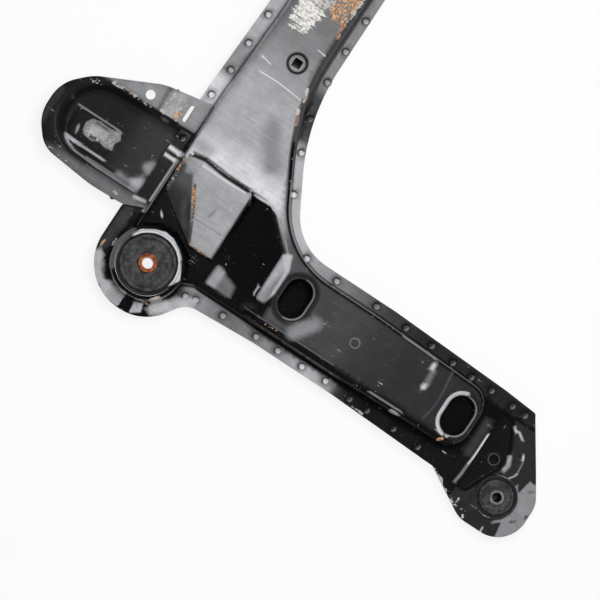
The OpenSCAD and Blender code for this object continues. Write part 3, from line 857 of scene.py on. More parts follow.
@dataclass
class UpperShell:
    """The large pressing: crossmember, corners and arms with their flanges."""

    # Crossmember and arm as one ridge
    hat: Form = Form(Outline((
        (330, 28, 300), (205, 33, 300), (118, 33, 8), (130, -56, 15), (130, -81, 25), (81, -134, 12),
        (10, -136, 8), (10, -255, 150), (11, -345, 100), (12, -415, 25), (88, -415, 25), (90, -345, 100),
        (93, -255, 150), (93, -127, 100), (243, -45, 260), (BEYOND, -45, 1), (BEYOND, 28, 1),
    )), Draw(FLANGE, HAT_TOP, -2.9, 0.55, 2.5, 5.0))
    # Low floor between the corner, the crossmember and the arm
    floor: Form = Form(Outline((
        (0, 35, 3), (0, -43.5, 8), (8, -59.5, 20), (8, -150, 3), (83, -150, 3), (104, -118, 10),
        (150, -80, 6), (150, 35, 3),
    )), Draw(FLANGE, FLOOR_TOP, -1.0, 0.5, 3.5, 5.0))
    # Raised collar round the corner bush
    boss: Form = Form(rounded_box((0, 0), 87, 87, 43.5), Draw(FLANGE, BOSS_TOP, -1.2, 0.6, 3.0, 4.5))
    blend_r: float = 3.0
    oval_w: float = 48.0
    oval_l: float = 32.0
    oval_rim: float = 6.0
    clip_at: Spot = (283.5, -17.5)
    clip_r: float = 12.5
    clip_slope: Spot = (-3.2, 0.6)
    clip_drop: float = 3.0
    clip_side: float = 10.5
    clip_corner: float = 1.2
    bore_r: float = 37.8
    bore_count: int = 110
    # A weld's bowl, and its lip as (place, width), in shares of its radius
    weld_r: float = 4.4
    weld_drop: float = 1.2
    weld_bowl: Spot = (0.45, 1.0)
    weld_lip: Spot = (1.12, 0.14)
    weld_lip_h: float = 0.35
    # The arm falls from one place to another, rounded over the first share and on a little past the end
    fall_from: float = -338.0
    fall_to: float = -418.0
    fall_round: float = 0.3
    fall_past: float = 1.1
    end_share: float = 0.55
    # The valley behind the gusset sweeps up to a ridge, which slants behind a corner, and to the arm
    valley_rise: float = 24.0
    valley_run: float = 92.0
    valley_from: Spot = (-48.0, -66.0)
    ridge: Spot = (130.0, -81.0)
    ridge_slant: float = 49 / 53
    arm_from: float = -121.0
    arm_run: float = 18.0
    # Two low humps on a crease across the arm, as (place, width)
    crease_h: float = 0.8
    crease_y: Spot = (-340.0, 7.0)
    crease_x: tuple[Spot, ...] = ((57.0, 7.0), (80.0, 6.0))
    ovals: tuple[Spot, ...] = ((58, -163), (48.5, -392.5))
    welds: tuple[Spot, ...] = (
        (202, 45), (238, 42), (275, 42), (315, 41), (355, 40), (392, 40), (142, 45),
        (158, -97), (203, -78), (241, -65), (287, -58.5), (328, -57), (370, -57),
        (-20, 49), (37, 49), (-50, -15), (-8, -57), (-5, -69), (-3, -105), (-2, -150), (-2, -180),
        (-2, -213), (-1, -245), (-3, -279), (-3, -303), (-4, -340), (-6, -375),
        (105, -150), (102, -193), (103, -247), (101, -289), (100, -325), (97, -356), (95, -383),
        (95, -411), (93, -441), (92, -459),
    )
    # Rings of points along the bends: distances, radii, and (share of a weld's radius, count)
    oval_rings: tuple[float, ...] = (0.5, 1.3, 2.5, 4.0, 6.0, 8.0)
    clip_rings: tuple[float, ...] = (9.0, 10.0, 11.0, 12.0, 13.2, 14.5)
    bore_rings: tuple[float, ...] = (38.6, 40.0)
    weld_rings: tuple[tuple[float, int], ...] = ((0.35, 6), (0.62, 11), (0.82, 14), (1.0, 17), (1.22, 18))
    # Pale film and painted sheen along each part of the pressing, as (place, level)
    plateau_film_and_sheen: tuple[Spot, ...] = (
        (128, 0.8), (152, 0.74), (175, 0.44), (220, 0.45), (262, 0.33), (300, 0.22), (345, 0.18),
        (400, 0.24))
    front_film_and_sheen: tuple[Spot, ...] = (
        (40, 0.02), (154, 0.02), (162, 0.4), (190, 0.7), (197, 1.3), (224, 1.3), (234, 0.5), (262, 0.5),
        (280, 0.7), (300, 0.8), (400, 0.7))
    rear_film_and_sheen: tuple[Spot, ...] = (
        (105, 0.9), (130, 0.95), (180, 0.9), (205, 0.7), (218, 0.06), (265, 0.04), (280, 0.4), (400, 0.42))
    inner_film_and_sheen: tuple[Spot, ...] = (
        (135, 0.9), (172, 0.66), (220, 0.29), (260, 0.1), (310, 0.035), (400, 0.035))
    outer_film_and_sheen: tuple[Spot, ...] = (
        (45, 0.6), (78, 0.62), (110, 0.35), (170, 0.5), (225, 0.95), (248, 0.85), (262, 0.06), (290, 0.015),
        (420, 0.008))
    arm_film_and_sheen: tuple[Spot, ...] = (
        (150, 0.1), (200, 0.065), (230, 0.075), (265, 0.045), (305, 0.034), (420, 0.04))
    # Where the parts of the film and painted sheen begin: the two ends of a soft step, or a limit
    crossing_y: Spot = (-128, -80)
    front_y: Spot = (22, 30)
    front_x: Spot = (40, 48)
    rear_y: Spot = (-40, -48)
    inner_y: Spot = (-126, -142)
    outer_y: Spot = (-45, -58)
    inner_x: float = 85.0
    outer_x: float = 12.0
    # Strip of painted shade without film inside the hat's edge, and what its sides add to that
    shaded_edge: float = 2.5
    bare_outer: float = 4.5
    shaded_front: float = -3.0
    shaded_rear: float = 1.5
    shaded_fade: float = 3.5
    arm_middle: float = 50.0
    front_edge_y: Spot = (5, 15)
    rear_edge_y: Spot = (-30, -40)
    # The flange's film and painted sheen end at the foot of the open walls, a painted shade there, and the
    # front wall has a little of its own
    flange_z: Spot = (FLANGE + 0.5, FLANGE + 2.1)
    open_outer_x: float = 30.0
    open_rear: Spot = (215.0, -40.0)
    wall_foot: Spot = (-7.0, -5.0)
    wall_from: Spot = (-3.5, -2.0)
    wall_to: Spot = (0.0, 2.5)
    wall_film_and_sheen: float = 0.12
    wall_more: float = 0.16
    wall_more_x: Spot = (135, 165)
    # Painted light on the welds: where it comes from, the soft step to a weld's lit side, and the painted
    # gleam there
    lit_from: Spot = (0.35, 0.94)
    lit_side: Spot = (-0.2, 0.7)
    gleam: float = 0.32
    gleam_at: Spot = (0.62, 0.2)
    # The painted shade in a ring round a weld: its level, place and width, and what the light takes off
    ring_dark: float = 0.95
    ring_dark_lit: float = 0.45
    ring_at: float = 0.9
    ring_w: float = 0.3
    ring_w_lit: float = 0.12
    # Chips along the hat's upper edge, as (place, width), and where there are more of them
    chip_level: float = 0.2
    chip_edge: Spot = (2.5, 2.0)
    chip_more_y: Spot = (-120, -330)

    def oval_loop(self, at: Spot, grow: float) -> Points:
        """Outline of an oval hole, grown by a distance."""
        return rounded_box(at, self.oval_w + 2 * grow, self.oval_l + 2 * grow, self.oval_w).points(2.2)

    def clip_hole(self) -> Points:
        """Outline of the square clip hole."""
        return rounded_box(self.clip_at, self.clip_side, self.clip_side, self.clip_corner).points(1.5)

    def share(self, y: Points) -> Points:
        """Share of the height left along the falling arm."""
        t = np.clip((self.fall_from - y) / (self.fall_from - self.fall_to), 0.0, self.fall_past)
        half = self.fall_round / 2
        rounded = np.where(t < self.fall_round, t * t / (2 * self.fall_round), t - half)
        return 1.0 - (1.0 - self.end_share) * rounded / (1 - half)

    def body(self, at: Points) -> Points:
        """Height of the pressed forms without holes and marks."""
        x, y = at.T
        hat = FLANGE + (self.hat.height(at) - FLANGE) * self.share(y)
        ridge_x = self.ridge[0] - np.maximum(self.ridge[1] - y, 0.0) * self.ridge_slant
        sweep = 1 - np.clip((ridge_x - x) / self.valley_run, 0.0, 1.0)
        to_arm = np.clip((self.arm_from - y) / self.arm_run, 0.0, 1.0)
        rise = self.valley_rise * np.maximum(sweep**2 * ease(y, *self.valley_from), to_arm)
        floor = FLANGE + (self.floor.height(at) - FLANGE) * (1 + rise / (FLOOR_TOP - FLANGE))
        return soft_max(soft_max(hat, floor, self.blend_r), self.boss.height(at), self.blend_r)

    def height(self, at: Points) -> Points:
        """Height of the outer skin."""
        z = self.body(at)
        for spot in self.ovals:
            gap = np.clip(-depth_inside(self.oval_loop(spot, 0.0), at), 0.0, self.oval_rim)
            z = z - (self.oval_rim - np.sqrt(self.oval_rim**2 - (self.oval_rim - gap) ** 2))
        clip = np.linalg.norm(at - np.array(self.clip_at), axis=1) - self.clip_r
        z = z - self.clip_drop * (1 - ease(clip, *self.clip_slope))
        for spot in self.welds:
            r = np.linalg.norm(at - np.array(spot), axis=1) / self.weld_r
            z = z - self.weld_drop * (1 - ease(r, *self.weld_bowl))
            z = z + self.weld_lip_h * hump(r, *self.weld_lip)
        crease = self.crease_h * hump(at[:, 1], *self.crease_y)
        z = z + crease * sum(hump(at[:, 0], *place) for place in self.crease_x)
        return np.minimum(z, HAT_TOP)

    def rings(self) -> list[Points]:
        """Rings along every bend."""
        rings = [self.oval_loop(spot, grow) for spot in self.ovals for grow in self.oval_rings]
        rings += [circle(self.clip_at, r, 40) for r in self.clip_rings]
        rings += [circle((0, 0), r, self.bore_count) for r in self.bore_rings]
        # A form's rings are kept where it lies no further than this under the body's surface
        for form, near in ((self.hat, 6.0), (self.boss, 3.0), (self.floor, 3.0)):
            for ring in map(left_half, form.rings(3.0)):
                rings.append(ring[form.height(ring) > self.body(ring) - near])
        rings += [circle(spot, self.weld_r * s, n) for spot in self.welds for s, n in self.weld_rings]
        return rings

    def film(self, space: Points) -> Points:
        """Pale film and painted sheen: most on the crossmember, least down the arm and on the walls."""
        x, y, z = space.T
        depth = self.hat.depth(space[:, :2])
        crossing = ease(y, *self.crossing_y)
        # The film and painted sheen stop short of the arm's outer edge and the rear edge, leaving painted
        # shade, and run over the front edge as a painted highlight
        bare = self.shaded_edge + self.bare_outer * (1 - crossing) * (x < self.arm_middle)
        bare += self.shaded_front * ease(y, *self.front_edge_y)
        bare += self.shaded_rear * crossing * ease(y, *self.rear_edge_y)
        plateau, arm = between_stops(x, self.plateau_film_and_sheen), between_stops(-y, self.arm_film_and_sheen)
        level = ease(depth - bare, 0.0, self.shaded_fade) * (crossing * plateau + (1 - crossing) * arm)
        open_wall = (x < self.open_outer_x) | ((x > self.open_rear[0]) & (y < self.open_rear[1]))
        flange = (1 - ease(z, *self.flange_z)) * (1 - open_wall * ease(depth, *self.wall_foot))
        inner = ease(y, *self.inner_y) * (x > self.inner_x)
        outer = ease(y, *self.outer_y) * (x < self.outer_x)
        front = ease(y, *self.front_y)
        rear = ease(y, *self.rear_y) * (x > self.inner_x) * (1 - inner)
        for share, place, stops in (
            (front * ease(x, *self.front_x), x, self.front_film_and_sheen), (rear, x, self.rear_film_and_sheen),
            (inner, -y, self.inner_film_and_sheen), (outer, -y, self.outer_film_and_sheen),
        ):
            level += flange * share * between_stops(place, stops)
        wall = ease(depth, *self.wall_from) * (1 - ease(depth, *self.wall_to)) * (1 - flange) * front
        level += wall * (self.wall_film_and_sheen + self.wall_more * ease(x, *self.wall_more_x))
        return self.weld_painted_light(space[:, :2], level)

    def weld_painted_light(self, at: Points, level: Points) -> Points:
        """The film with painted shade in a ring round each spot weld and a painted gleam on its lit side."""
        for spot in self.welds:
            away = (at - np.array(spot)) / self.weld_r
            r = np.linalg.norm(away, axis=1)
            lit = ease(-away @ np.array(self.lit_from), *self.lit_side)
            ring = hump(r, self.ring_at, self.ring_w - self.ring_w_lit * lit)
            level = level * (1 - (self.ring_dark - self.ring_dark_lit * lit) * ring)
            level = level + self.gleam * lit * hump(r, *self.gleam_at)
        return level

    def hole_painted_light(self) -> list[Mark]:
        """Painted shade on the rolled bands and painted highlights on the edges round the holes."""
        marks = []
        for spot in self.ovals:
            lower = sorted(p for p in as_path(self.oval_loop(spot, 0.8)) if p[1] < spot[1])
            marks.append(Mark(FILM_AND_SHEEN, as_path(self.oval_loop(spot, 5.0), True), 2.0, 0.02, 2.2))
            marks.append(Mark(FILM_AND_SHEEN, tuple(lower), 0.3, 0.45, 1.2))
        rear = self.ovals[1]
        upper = sorted(p for p in as_path(self.oval_loop(rear, 3.4)) if p[1] > rear[1] + 4)
        marks.append(Mark(FILM_AND_SHEEN, tuple(upper), 1.6, 0.8, 1.4))
        ring = circle(self.clip_at, self.clip_r - 1.2, 36)
        marks.append(Mark(FILM_AND_SHEEN, as_path(ring, True), 1.2, 0.03, 1.0))
        return marks

    def chip(self, space: Points) -> Points:
        """Chips along the hat's upper edge."""
        edge = hump(self.hat.depth(space[:, :2]), *self.chip_edge) * (space[:, 2] > FLOOR_TOP)
        return self.chip_level * edge * (0.5 + 0.5 * ease(space[:, 1], *self.chip_more_y))

    def build(self) -> bpy.types.Object:
        """The shell with its wear and its painted sheen and shade."""
        corners = FLANGE_OUT + (
            WAIST, (-34.6, SHELL_END, 3), (TONGUE_X, SHELL_END, 8), (TONGUE_X, -479, 1), REAR_INNER,
            REAR_KNEE,
        ) + FLANGE_IN
        holes = [*(self.oval_loop(spot, 0.0) for spot in self.ovals), self.clip_hole(),
                 circle((0, 0), self.bore_r, self.bore_count)]
        sheet = Sheet("upper_shell_pressing", half_loop(corners, 3.0), self.height, SHEET, holes,
                      self.rings(), self.hole_painted_light() + SHELL_MARKS, spacing=5.0, mirrored=True)
        return dressed(sheet, self.film, (), self.chip)


@dataclass
class LowerShell:
    """The pan that closes the upper shell from below."""

    depth: float = 18.0
    bore_r: float = 37.8
    blend_r: float = 2.0
    lift: float = 0.5
    near: float = 2.0

    def pans(self) -> list[Form]:
        """Forms of the pan."""
        draw = Draw(SEAM, SEAM - self.depth, 0.2, 2.0, 2.5, 3.5, 3)
        outlines = (
            ((20, 34, 8), (20, -46, 8), (BEYOND, -46, 8), (BEYOND, 34, 8)),
            ((9, -20, 8), (9, -378, 15), (89, -378, 15), (94, -255, 60), (94, -20, 8)),
            ((20, 0, 10), (20, -150, 10), (94, -150, 10), (200, -64, 20), (238, 0, 10)),
            ((-43.5, 37.5, 35.5), (-43.5, -43.5, 35.5), (43.5, -43.5, 35.5), (43.5, 37.5, 35.5)),
        )
        return [Form(Outline(o), draw) for o in outlines]

    def height(self, at: Points) -> Points:
        """Height of the inner skin."""
        z = np.full(len(at), SEAM)
        for pan in self.pans():
            z = soft_min(z, pan.height(at), self.blend_r)
        return np.minimum(z + self.lift, SEAM)

    def build(self) -> bpy.types.Object:
        """The pan, plain black."""
        corners = FLANGE_OUT + ((-15, PAN_END, 1), (105, PAN_END, 1)) + FLANGE_IN
        rings = []
        for pan in self.pans():
            for ring in map(left_half, pan.rings(4.5)):
                rings.append(ring[pan.height(ring) < self.height(ring) + self.near])
        sheet = Sheet("lower_shell_pressing", half_loop(corners, 4.0), self.height, SHEET,
                      [circle((0, 0), self.bore_r, 96)], rings, spacing=9.0, mirrored=True)
        return dressed(sheet, no_film_or_sheen)


@dataclass
class ControlArmBracket:
    """Dished pressing with a rim, welded to the front of the crossmember."""

    sheet: float = 3.0
    rim_top: float = 44.0
    floor: float = 18.0
    rim: Outline = Outline((
        (51.5, 36.5, 1), (192.4, 36.5, 1), (182, 95, 60), (145.5, 170, 60), (118, 197, 45), (76, 197, 45),
        (46, 173, 35), (39, 105, 150), (40.5, 62, 25),
    ))
    emboss_h: float = 2.2
    hole_at: Spot = (163, 103)
    hole_r: float = 5.6
    slot_at: Spot = (168.5, 54.5)
    slot_size: Spot = (21.0, 5.2)
    # The rim rolls down at its outer edge, in front of the crossmember
    roll_drop: float = 1.6
    roll_depth: Spot = (4.5, -0.5)
    roll_y: Spot = (60, 80)
    roll_least: float = 8.0
    # Film and painted sheen in the dish, more of it near the crossmember, and on the rim to the left and
    # right
    dish_film_and_sheen: float = 0.012
    near_film_and_sheen: float = 0.02
    left_film: float = 0.17
    right_film: float = 0.3
    rim_z: Spot = (40.5, 43)
    near_y: Spot = (110, 80)
    left_x: Spot = (56, 50)
    left_y: Spot = (185, 150)
    right_x: Spot = (148, 156)
    beads: tuple[Bead, ...] = (
        Bead(((51, 37, 42), (60, 37, 42)), 2.0, seed=5),
        Bead(((156, 38, 41.5), (170, 37.5, 42), (192, 37.5, 41.5)), 2.4, seed=6),
    )

    def dish(self) -> Form:
        """The dish."""
        outline = Outline(((58, 0, 1), (155, 0, 1), (146, 180, 46), (60, 180, 40)))
        return Form(outline, Draw(self.rim_top, self.floor, -0.5, 6.5, 4.0, 6.0))

    def emboss(self) -> Form:
        """Raised pad in the dish."""
        outline = Outline(((74, 163, 8), (74, 108, 8), (107.5, 108, 8), (107.5, 163, 8)))
        return Form(outline, Draw(0.0, self.emboss_h, -2.0, 3.0, 5.0, 5.0, 3))

    def height(self, at: Points) -> Points:
        """Height of the upper skin."""
        z = self.dish().height(at) + self.emboss().height(at)
        roll = ease(depth_inside(self.rim.points(2.6), at), *self.roll_depth) * ease(at[:, 1], *self.roll_y)
        return z - self.roll_drop * roll * (z > self.rim_top - self.roll_least)

    def film(self, space: Points) -> Points:
        """A little film and painted sheen, more on the outer rim and the flange beside the dish."""
        x, y, z = space.T
        left = self.left_film * ease(x, *self.left_x) * ease(y, *self.left_y)
        right = self.right_film * ease(x, *self.right_x)
        return self.dish_film_and_sheen + self.near_film_and_sheen * ease(y, *self.near_y) + ease(z, *self.rim_z) * (left + right)

    def build(self) -> bpy.types.Object:
        """The bracket with its welds, its wear and its painted sheen and shade."""
        slot = rounded_box(self.slot_at, *self.slot_size, self.slot_size[1]).points(1.4)
        holes = [circle(self.hole_at, self.hole_r, 28), slot]
        rings = self.dish().rings(3.0) + self.emboss().rings(2.6)
        rings += [self.rim.inset(d).points(3.0) for d in (1.5, 3.0, 4.5)]
        sheet = Sheet("left_control_arm_bracket_pressing", self.rim.points(2.6), self.height, self.sheet,
                      holes, rings, BRACKET_MARKS, spacing=4.5)
        return dressed(sheet, self.film, self.beads)


@dataclass
class Gusset:
    """Folded plate over the corner, welded to the crossmember."""

    sheet: float = 2.5
    left: float = 43.0
    end: float = 118.0
    low: float = 60.0
    top: float = 76.3
    foot_z: float = 52.6
    least_z: float = 50.5
    outline: Outline = Outline((
        (80, 26.5, 3), (42, -29, 3), (41, -61.5, 3), (118, -61.5, 3), (130.5, -51, 4), (130, -20, 30),
        (133, 10, 10), (130, 26.5, 4),
    ))
    # The shoulder's fold runs from the tip to the ridge, and its foot stands on the corner
    tip: Corner = (43.0, -29.0, 60.0)
    ridge: Corner = (106.0, 8.0, 73.7)
    fold_end: Spot = (120.0, 14.0)
    foot: Spot = (80.0, 25.0)
    beside_x: Spot = (84, 121)
    rear_y: float = -61.5
    side_x: float = 41.0
    wall_slope: float = 5.0
    # Film and painted sheen on the main face and the shoulder; none at the walls, which are left dark as
    # painted shade
    least_film_and_sheen: float = 0.015
    main_film_and_sheen: float = 0.46
    shoulder_film_and_sheen: float = 0.03
    shoulder_more: float = 0.1
    more_x: Spot = (80, 105)
    clear_y: Spot = (-59, -55)
    clear_x: Spot = (42.5, 45)
    edge_rings: tuple[float, ...] = (1.0, 2.2, 3.5, 5.0, 7.0)
    fold_rings: tuple[Spot, ...] = ((0, 0), (-0.8, 1.3), (0.8, -1.3), (-1.6, 2.6), (1.6, -2.6))
    beads: tuple[Bead, ...] = (
        Bead(((131.5, 24, 72.8), (133.8, 10, 73), (131, -8, 73), (130.8, -30, 73), (131.5, -50, 72.8),
              (135.5, -54.5, 72.6)), 2.6, seed=11),
        Bead(((82, 27, 54), (94, 28.5, 60), (106, 29, 66), (118, 29, 70.5), (131, 25.5, 72.5)),
             3.0, seed=12),
        Bead(((118, -61, 64), (126, -56, 69), (131.5, -51, 72)), 2.4, seed=13),
    )

    def slope(self, x: Points) -> Points:
        """Height of the sloping main face."""
        share = (x - self.left) / (self.end - self.left)
        return np.minimum(self.low + (self.top - self.low) * share, self.top)

    def shoulder(self, at: Points) -> Points:
        """Height of the face that falls to the corner, through three of its points."""
        along_fold = np.subtract(self.ridge, self.tip)
        n = np.cross(along_fold, np.subtract((*self.foot, self.foot_z), self.tip))
        return self.tip[2] - (n[0] * (at[:, 0] - self.tip[0]) + n[1] * (at[:, 1] - self.tip[1])) / n[2]

    def upper(self, at: Points) -> Points:
        """Height of the shoulder and of the face beside it."""
        beside = self.foot_z + (self.top - self.foot_z) * ease(at[:, 0], *self.beside_x)
        return np.maximum(self.shoulder(at), beside)

    def height(self, at: Points) -> Points:
        """Height of the upper skin."""
        x, y = at.T
        main = soft_min(self.slope(x), np.full(len(x), self.top), 1.5)
        z = soft_min(main, self.upper(at), 2.0)
        for inside in (y - self.rear_y, x - self.side_x):
            z = soft_min(z, self.foot_z + np.maximum(inside * self.wall_slope, 0.0), 3.0)
        return np.clip(z, self.least_z, self.top)

    def film(self, space: Points) -> Points:
        """Film and painted sheen on the main face, little on the upper face and none on the walls."""
        at = space[:, :2]
        x, y = at.T
        main = ease(self.upper(at) - self.slope(x), -1.0, 0.6)
        clear = ease(y, *self.clear_y) * ease(x, *self.clear_x)
        shoulder = self.shoulder_film_and_sheen + self.shoulder_more * ease(x, *self.more_x)
        return self.least_film_and_sheen + clear * (main * self.main_film_and_sheen + (1 - main) * shoulder)

    def build(self) -> bpy.types.Object:
        """The gusset with its welds, its wear and its painted sheen and shade."""
        fold = along(np.array([self.tip[:2], self.ridge[:2], self.fold_end]), 2.0)
        rings = [self.outline.inset(d).points(2.2) for d in self.edge_rings]
        rings += [fold + np.array(aside) for aside in self.fold_rings]
        sheet = Sheet("left_gusset_pressing", self.outline.points(2.4), self.height, self.sheet, [], rings,
                      GUSSET_MARKS, spacing=4.0)
        return dressed(sheet, self.film, self.beads)


@dataclass
class EndBracket:
    """Pressing under the end of the arm that carries the rear bush."""

    sheet: float = 3.0
    bore_at: Spot = REAR_BUSH
    bore_r: float = 25.3
    dimple_at: Spot = DIMPLE_AT
    dimple_r: float = 5.0
    dimple_wall: float = 1.2
    dimple_drop: float = 3.0
    # A raised rim round the dimple as (place, width), and a raised arc behind it
    rim_h: float = 1.0
    rim_at: Spot = (1.6, 1.4)
    arc_at: Spot = (38.0, -470.0)
    arc_r: float = 19.0
    arc_h: float = 0.7
    arc_w: float = 1.8
    arc_y: Spot = (-474, -484)
    arc_x: float = 16.0
    lip_y: float = -507.0
    lip_slope: float = math.tan(math.radians(14.0))
    lip_round: float = 2.0
    back: float = -528.0
    pocket_drop: float = 7.0
    seam_gap: float = 0.02
    # Film and painted sheen on the plate, the painted shade that the pocket takes from it, and where the arm
    # covers it
    plate_film_and_sheen: float = 0.028
    pocket_painted_shade: float = -0.023
    pocket_edge: Spot = (-2.0, 3.0)
    arm_y: Spot = (-408, -416)
    # Rings of points along the bends, as distances from the dimple's edge, the lip and the arc
    dimple_rings: tuple[float, ...] = (-2.5, -1.2, -0.6, 0.0, 0.8, 1.6, 2.6, 4.0)
    lip_rings: tuple[float, ...] = (1.5, 0.0, -1.5, -3.5, -6.0)
    lip_x: Spot = (-48.0, 60.0)
    arc_rings: tuple[float, ...] = (-2.0, -0.8, 0.0, 0.8, 2.0)

    def pocket(self) -> Form:
        """Pocket in front of the bush."""
        outline = Outline((
            (-20, -425, 6), (-20, -450, 8), (24, -470, 8), (48, -470, 10), (82, -453, 10), (82, -425, 6)))
        return Form(outline, Draw(SEAM, SEAM - self.pocket_drop, -1.0, 3.0, 2.5, 3.0))

    def height(self, at: Points) -> Points:
        """Height of the upper skin."""
        x, y = at.T
        fall = np.maximum(self.lip_y - y, 0.0)
        z = self.pocket().height(at)
        z = z - self.lip_slope * (fall - self.lip_round * (1 - np.exp(-fall / self.lip_round)))
        dimple = np.linalg.norm(at - np.array(self.dimple_at), axis=1) - self.dimple_r
        z = z - self.dimple_drop * (1 - ease(dimple, -self.dimple_wall, 0.0))
        z = z + self.rim_h * hump(dimple, *self.rim_at)
        arc = hump(np.linalg.norm(at - np.array(self.arc_at), axis=1), self.arc_r, self.arc_w)
        return z + self.arc_h * arc * ease(y, *self.arc_y) * (x > self.arc_x)

    def film(self, space: Points) -> Points:
        """Little film and painted sheen on the plate, less in its pocket as painted shade, and none under the
        arm.
        """
        pocket = ease(self.pocket().depth(space[:, :2]), *self.pocket_edge)
        return (self.plate_film_and_sheen + self.pocket_painted_shade * pocket) * ease(space[:, 1], *self.arm_y)

    def edge_loop(self) -> Points:
        """Outline of the bracket."""
        front = PAN_END - self.seam_gap
        return Outline((
            (-15, front, 1), WAIST, REAR_HIP, (-48.5, self.back, 38), (12, self.back, 30), REAR_INNER,
            REAR_KNEE, (105, front, 1),
        )).points(2.6)

    def build(self) -> bpy.types.Object:
        """The bracket with its wear and its painted sheen and shade."""
        rings = self.pocket().rings(3.0)
        rings += [circle(self.dimple_at, self.dimple_r + g, 26) for g in self.dimple_rings]
        for s in self.lip_rings:
            rings.append(along(np.array([(x, self.lip_y + s) for x in self.lip_x]), 2.5))
        rings += [circle(self.arc_at, self.arc_r + g, 60) for g in self.arc_rings]
        sheet = Sheet("left_end_bracket_pressing", self.edge_loop(), self.height, self.sheet,
                      [circle(self.bore_at, self.bore_r, 72)], rings, END_MARKS, spacing=4.5)
        return dressed(sheet, self.film)


@dataclass
class Bush:
    """A rubber bush: welded tube, pressed-in sleeve, rubber and inner sleeve."""

    name: str
    at: Spot
    tube_r: float
    tube_z: Spot
    core_r: float
    bolt_r: float
    core_h: float
    pips: tuple[float, ...] = ()
    pip_ring: float = 17.5
    tube_wall: float = 3.0
    sleeve_wall: float = 2.0
    rubber_gap: float = 3.0
    pip_r: float = 1.6
    pip_drop: float = 1.9
    tube_film: float = 0.03
    # Painted highlights on the tube, as film marks
    shine: list[Mark] = field(default_factory=list)
    # Section of the rubber's face, drawn for one radius: (distance, drop) from its edge and from the core
    drawn_r: float = 32.5
    face: tuple[Spot, ...] = (
        (0.0, 3.4), (0.4, 0.7), (1.8, 0.0), (3.6, 0.2), (4.4, 2.2), (5.2, 2.4), (6.0, 1.1), (6.8, 1.5))
    hub: tuple[Spot, ...] = ((4.0, 2.0), (1.6, 2.6), (0.0, 3.2))

    def band(self, piece: str, radii: Spot, ends: Spot, c: float) -> bpy.types.Object:
        """A turned band between two radii and two heights, with edges rounded by c."""
        (outer, inner), (low, high) = radii, ends
        profile = [(outer, low + c), (outer, high - c), (outer - c * 0.4, high - c * 0.3), (outer - c, high),
                   (inner + c, high), (inner + c * 0.3, high - c * 0.3), (inner, high - c), (inner, low + c),
                   (inner + c, low), (outer - c, low)]
        return turned(f"left_{self.name}_{piece}_turning", profile, self.at)

    def rubber(self) -> bpy.types.Object:
        """The rubber with its lip, groove and pips."""
        outer = self.tube_r - self.tube_wall - self.sleeve_wall
        low, high = self.tube_z[0] - self.rubber_gap, self.tube_z[1] + self.rubber_gap
        k = outer / self.drawn_r
        top = [(outer - d * k, high - z * k) for d, z in self.face]
        top += [(self.core_r + d * k, high - z * k) for d, z in self.hub]
        bottom = [(r, low + high - z) for r, z in reversed(top)]
        parts = [turned(f"left_{self.name}_rubber_moulding", top + bottom, self.at)]
        for a in map(math.radians, self.pips):
            x, y = self.at[0] + self.pip_ring * math.cos(a), self.at[1] + self.pip_ring * math.sin(a)
            place = to_frame(np.array([x, y, high - self.pip_drop]))
            bpy.ops.object.select_all(action="DESELECT")
            bpy.ops.mesh.primitive_uv_sphere_add(segments=16, ring_count=8, radius=self.pip_r * MM,
                                                 location=tuple(place), scale=(1.0, 1.0, 0.6))
            bpy.ops.object.transform_apply(location=True, rotation=True, scale=True)
            parts.append(smoothed(bpy.context.object, 60.0))
        return joined(parts)

    def build(self) -> dict[str, bpy.types.Object]:
        """The four pieces by name."""
        sleeve_r = self.tube_r - self.tube_wall
        rubber_r = sleeve_r - self.sleeve_wall
        pieces = {
            "tube": self.band("tube", (self.tube_r, sleeve_r), self.tube_z, 1.0),
            "outer_sleeve": self.band("outer_sleeve", (sleeve_r, rubber_r), self.tube_z, 0.6),
            "rubber": self.rubber(),
            "inner_sleeve": self.band("inner_sleeve", (self.core_r, self.bolt_r), (0.0, self.core_h), 0.9),
        }
        # The tube has a little even film and the painted highlights of its shine marks
        paint_wear(pieces["tube"], self.shine, lambda space: no_film_or_sheen(space) + self.tube_film)
        # The inner sleeve's bore takes the steel's stain colour; on the rear bush that is dark, a painted
        # shade down the deep hole
        bore = Mark(RUST, (self.at,), self.bolt_r + 0.2, 1.5, 0.2)
        paint_wear(pieces["inner_sleeve"], [bore], no_film_or_sheen)
        return pieces


# Painted highlights in crescents round the corner bush, on the shell's boss and on the tube in it
CORNER_PAINTED_HIGHLIGHTS: list[Mark] = [
    Mark(FILM_AND_SHEEN, ((-25, 33), (-12, 38), (4, 39.5), (22, 35)), 2.2, 0.12, 3.0),
    Mark(FILM_AND_SHEEN, ((19, 31), (27, 27), (35, 14), (39.5, 2), (38, -9), (31, -21), (24, -29), (18, -27), (26, -18),
                (31, -6), (31, 8), (26, 18), (17, 26)), 0.4, 0.85, 1.6, True),
    Mark(FILM_AND_SHEEN, ((-13, -28), (-6, -35), (3, -40.5), (10, -37), (20, -31), (16, -27), (5, -31.5), (-6, -31)),
         0.4, 0.8, 1.6, True),
]
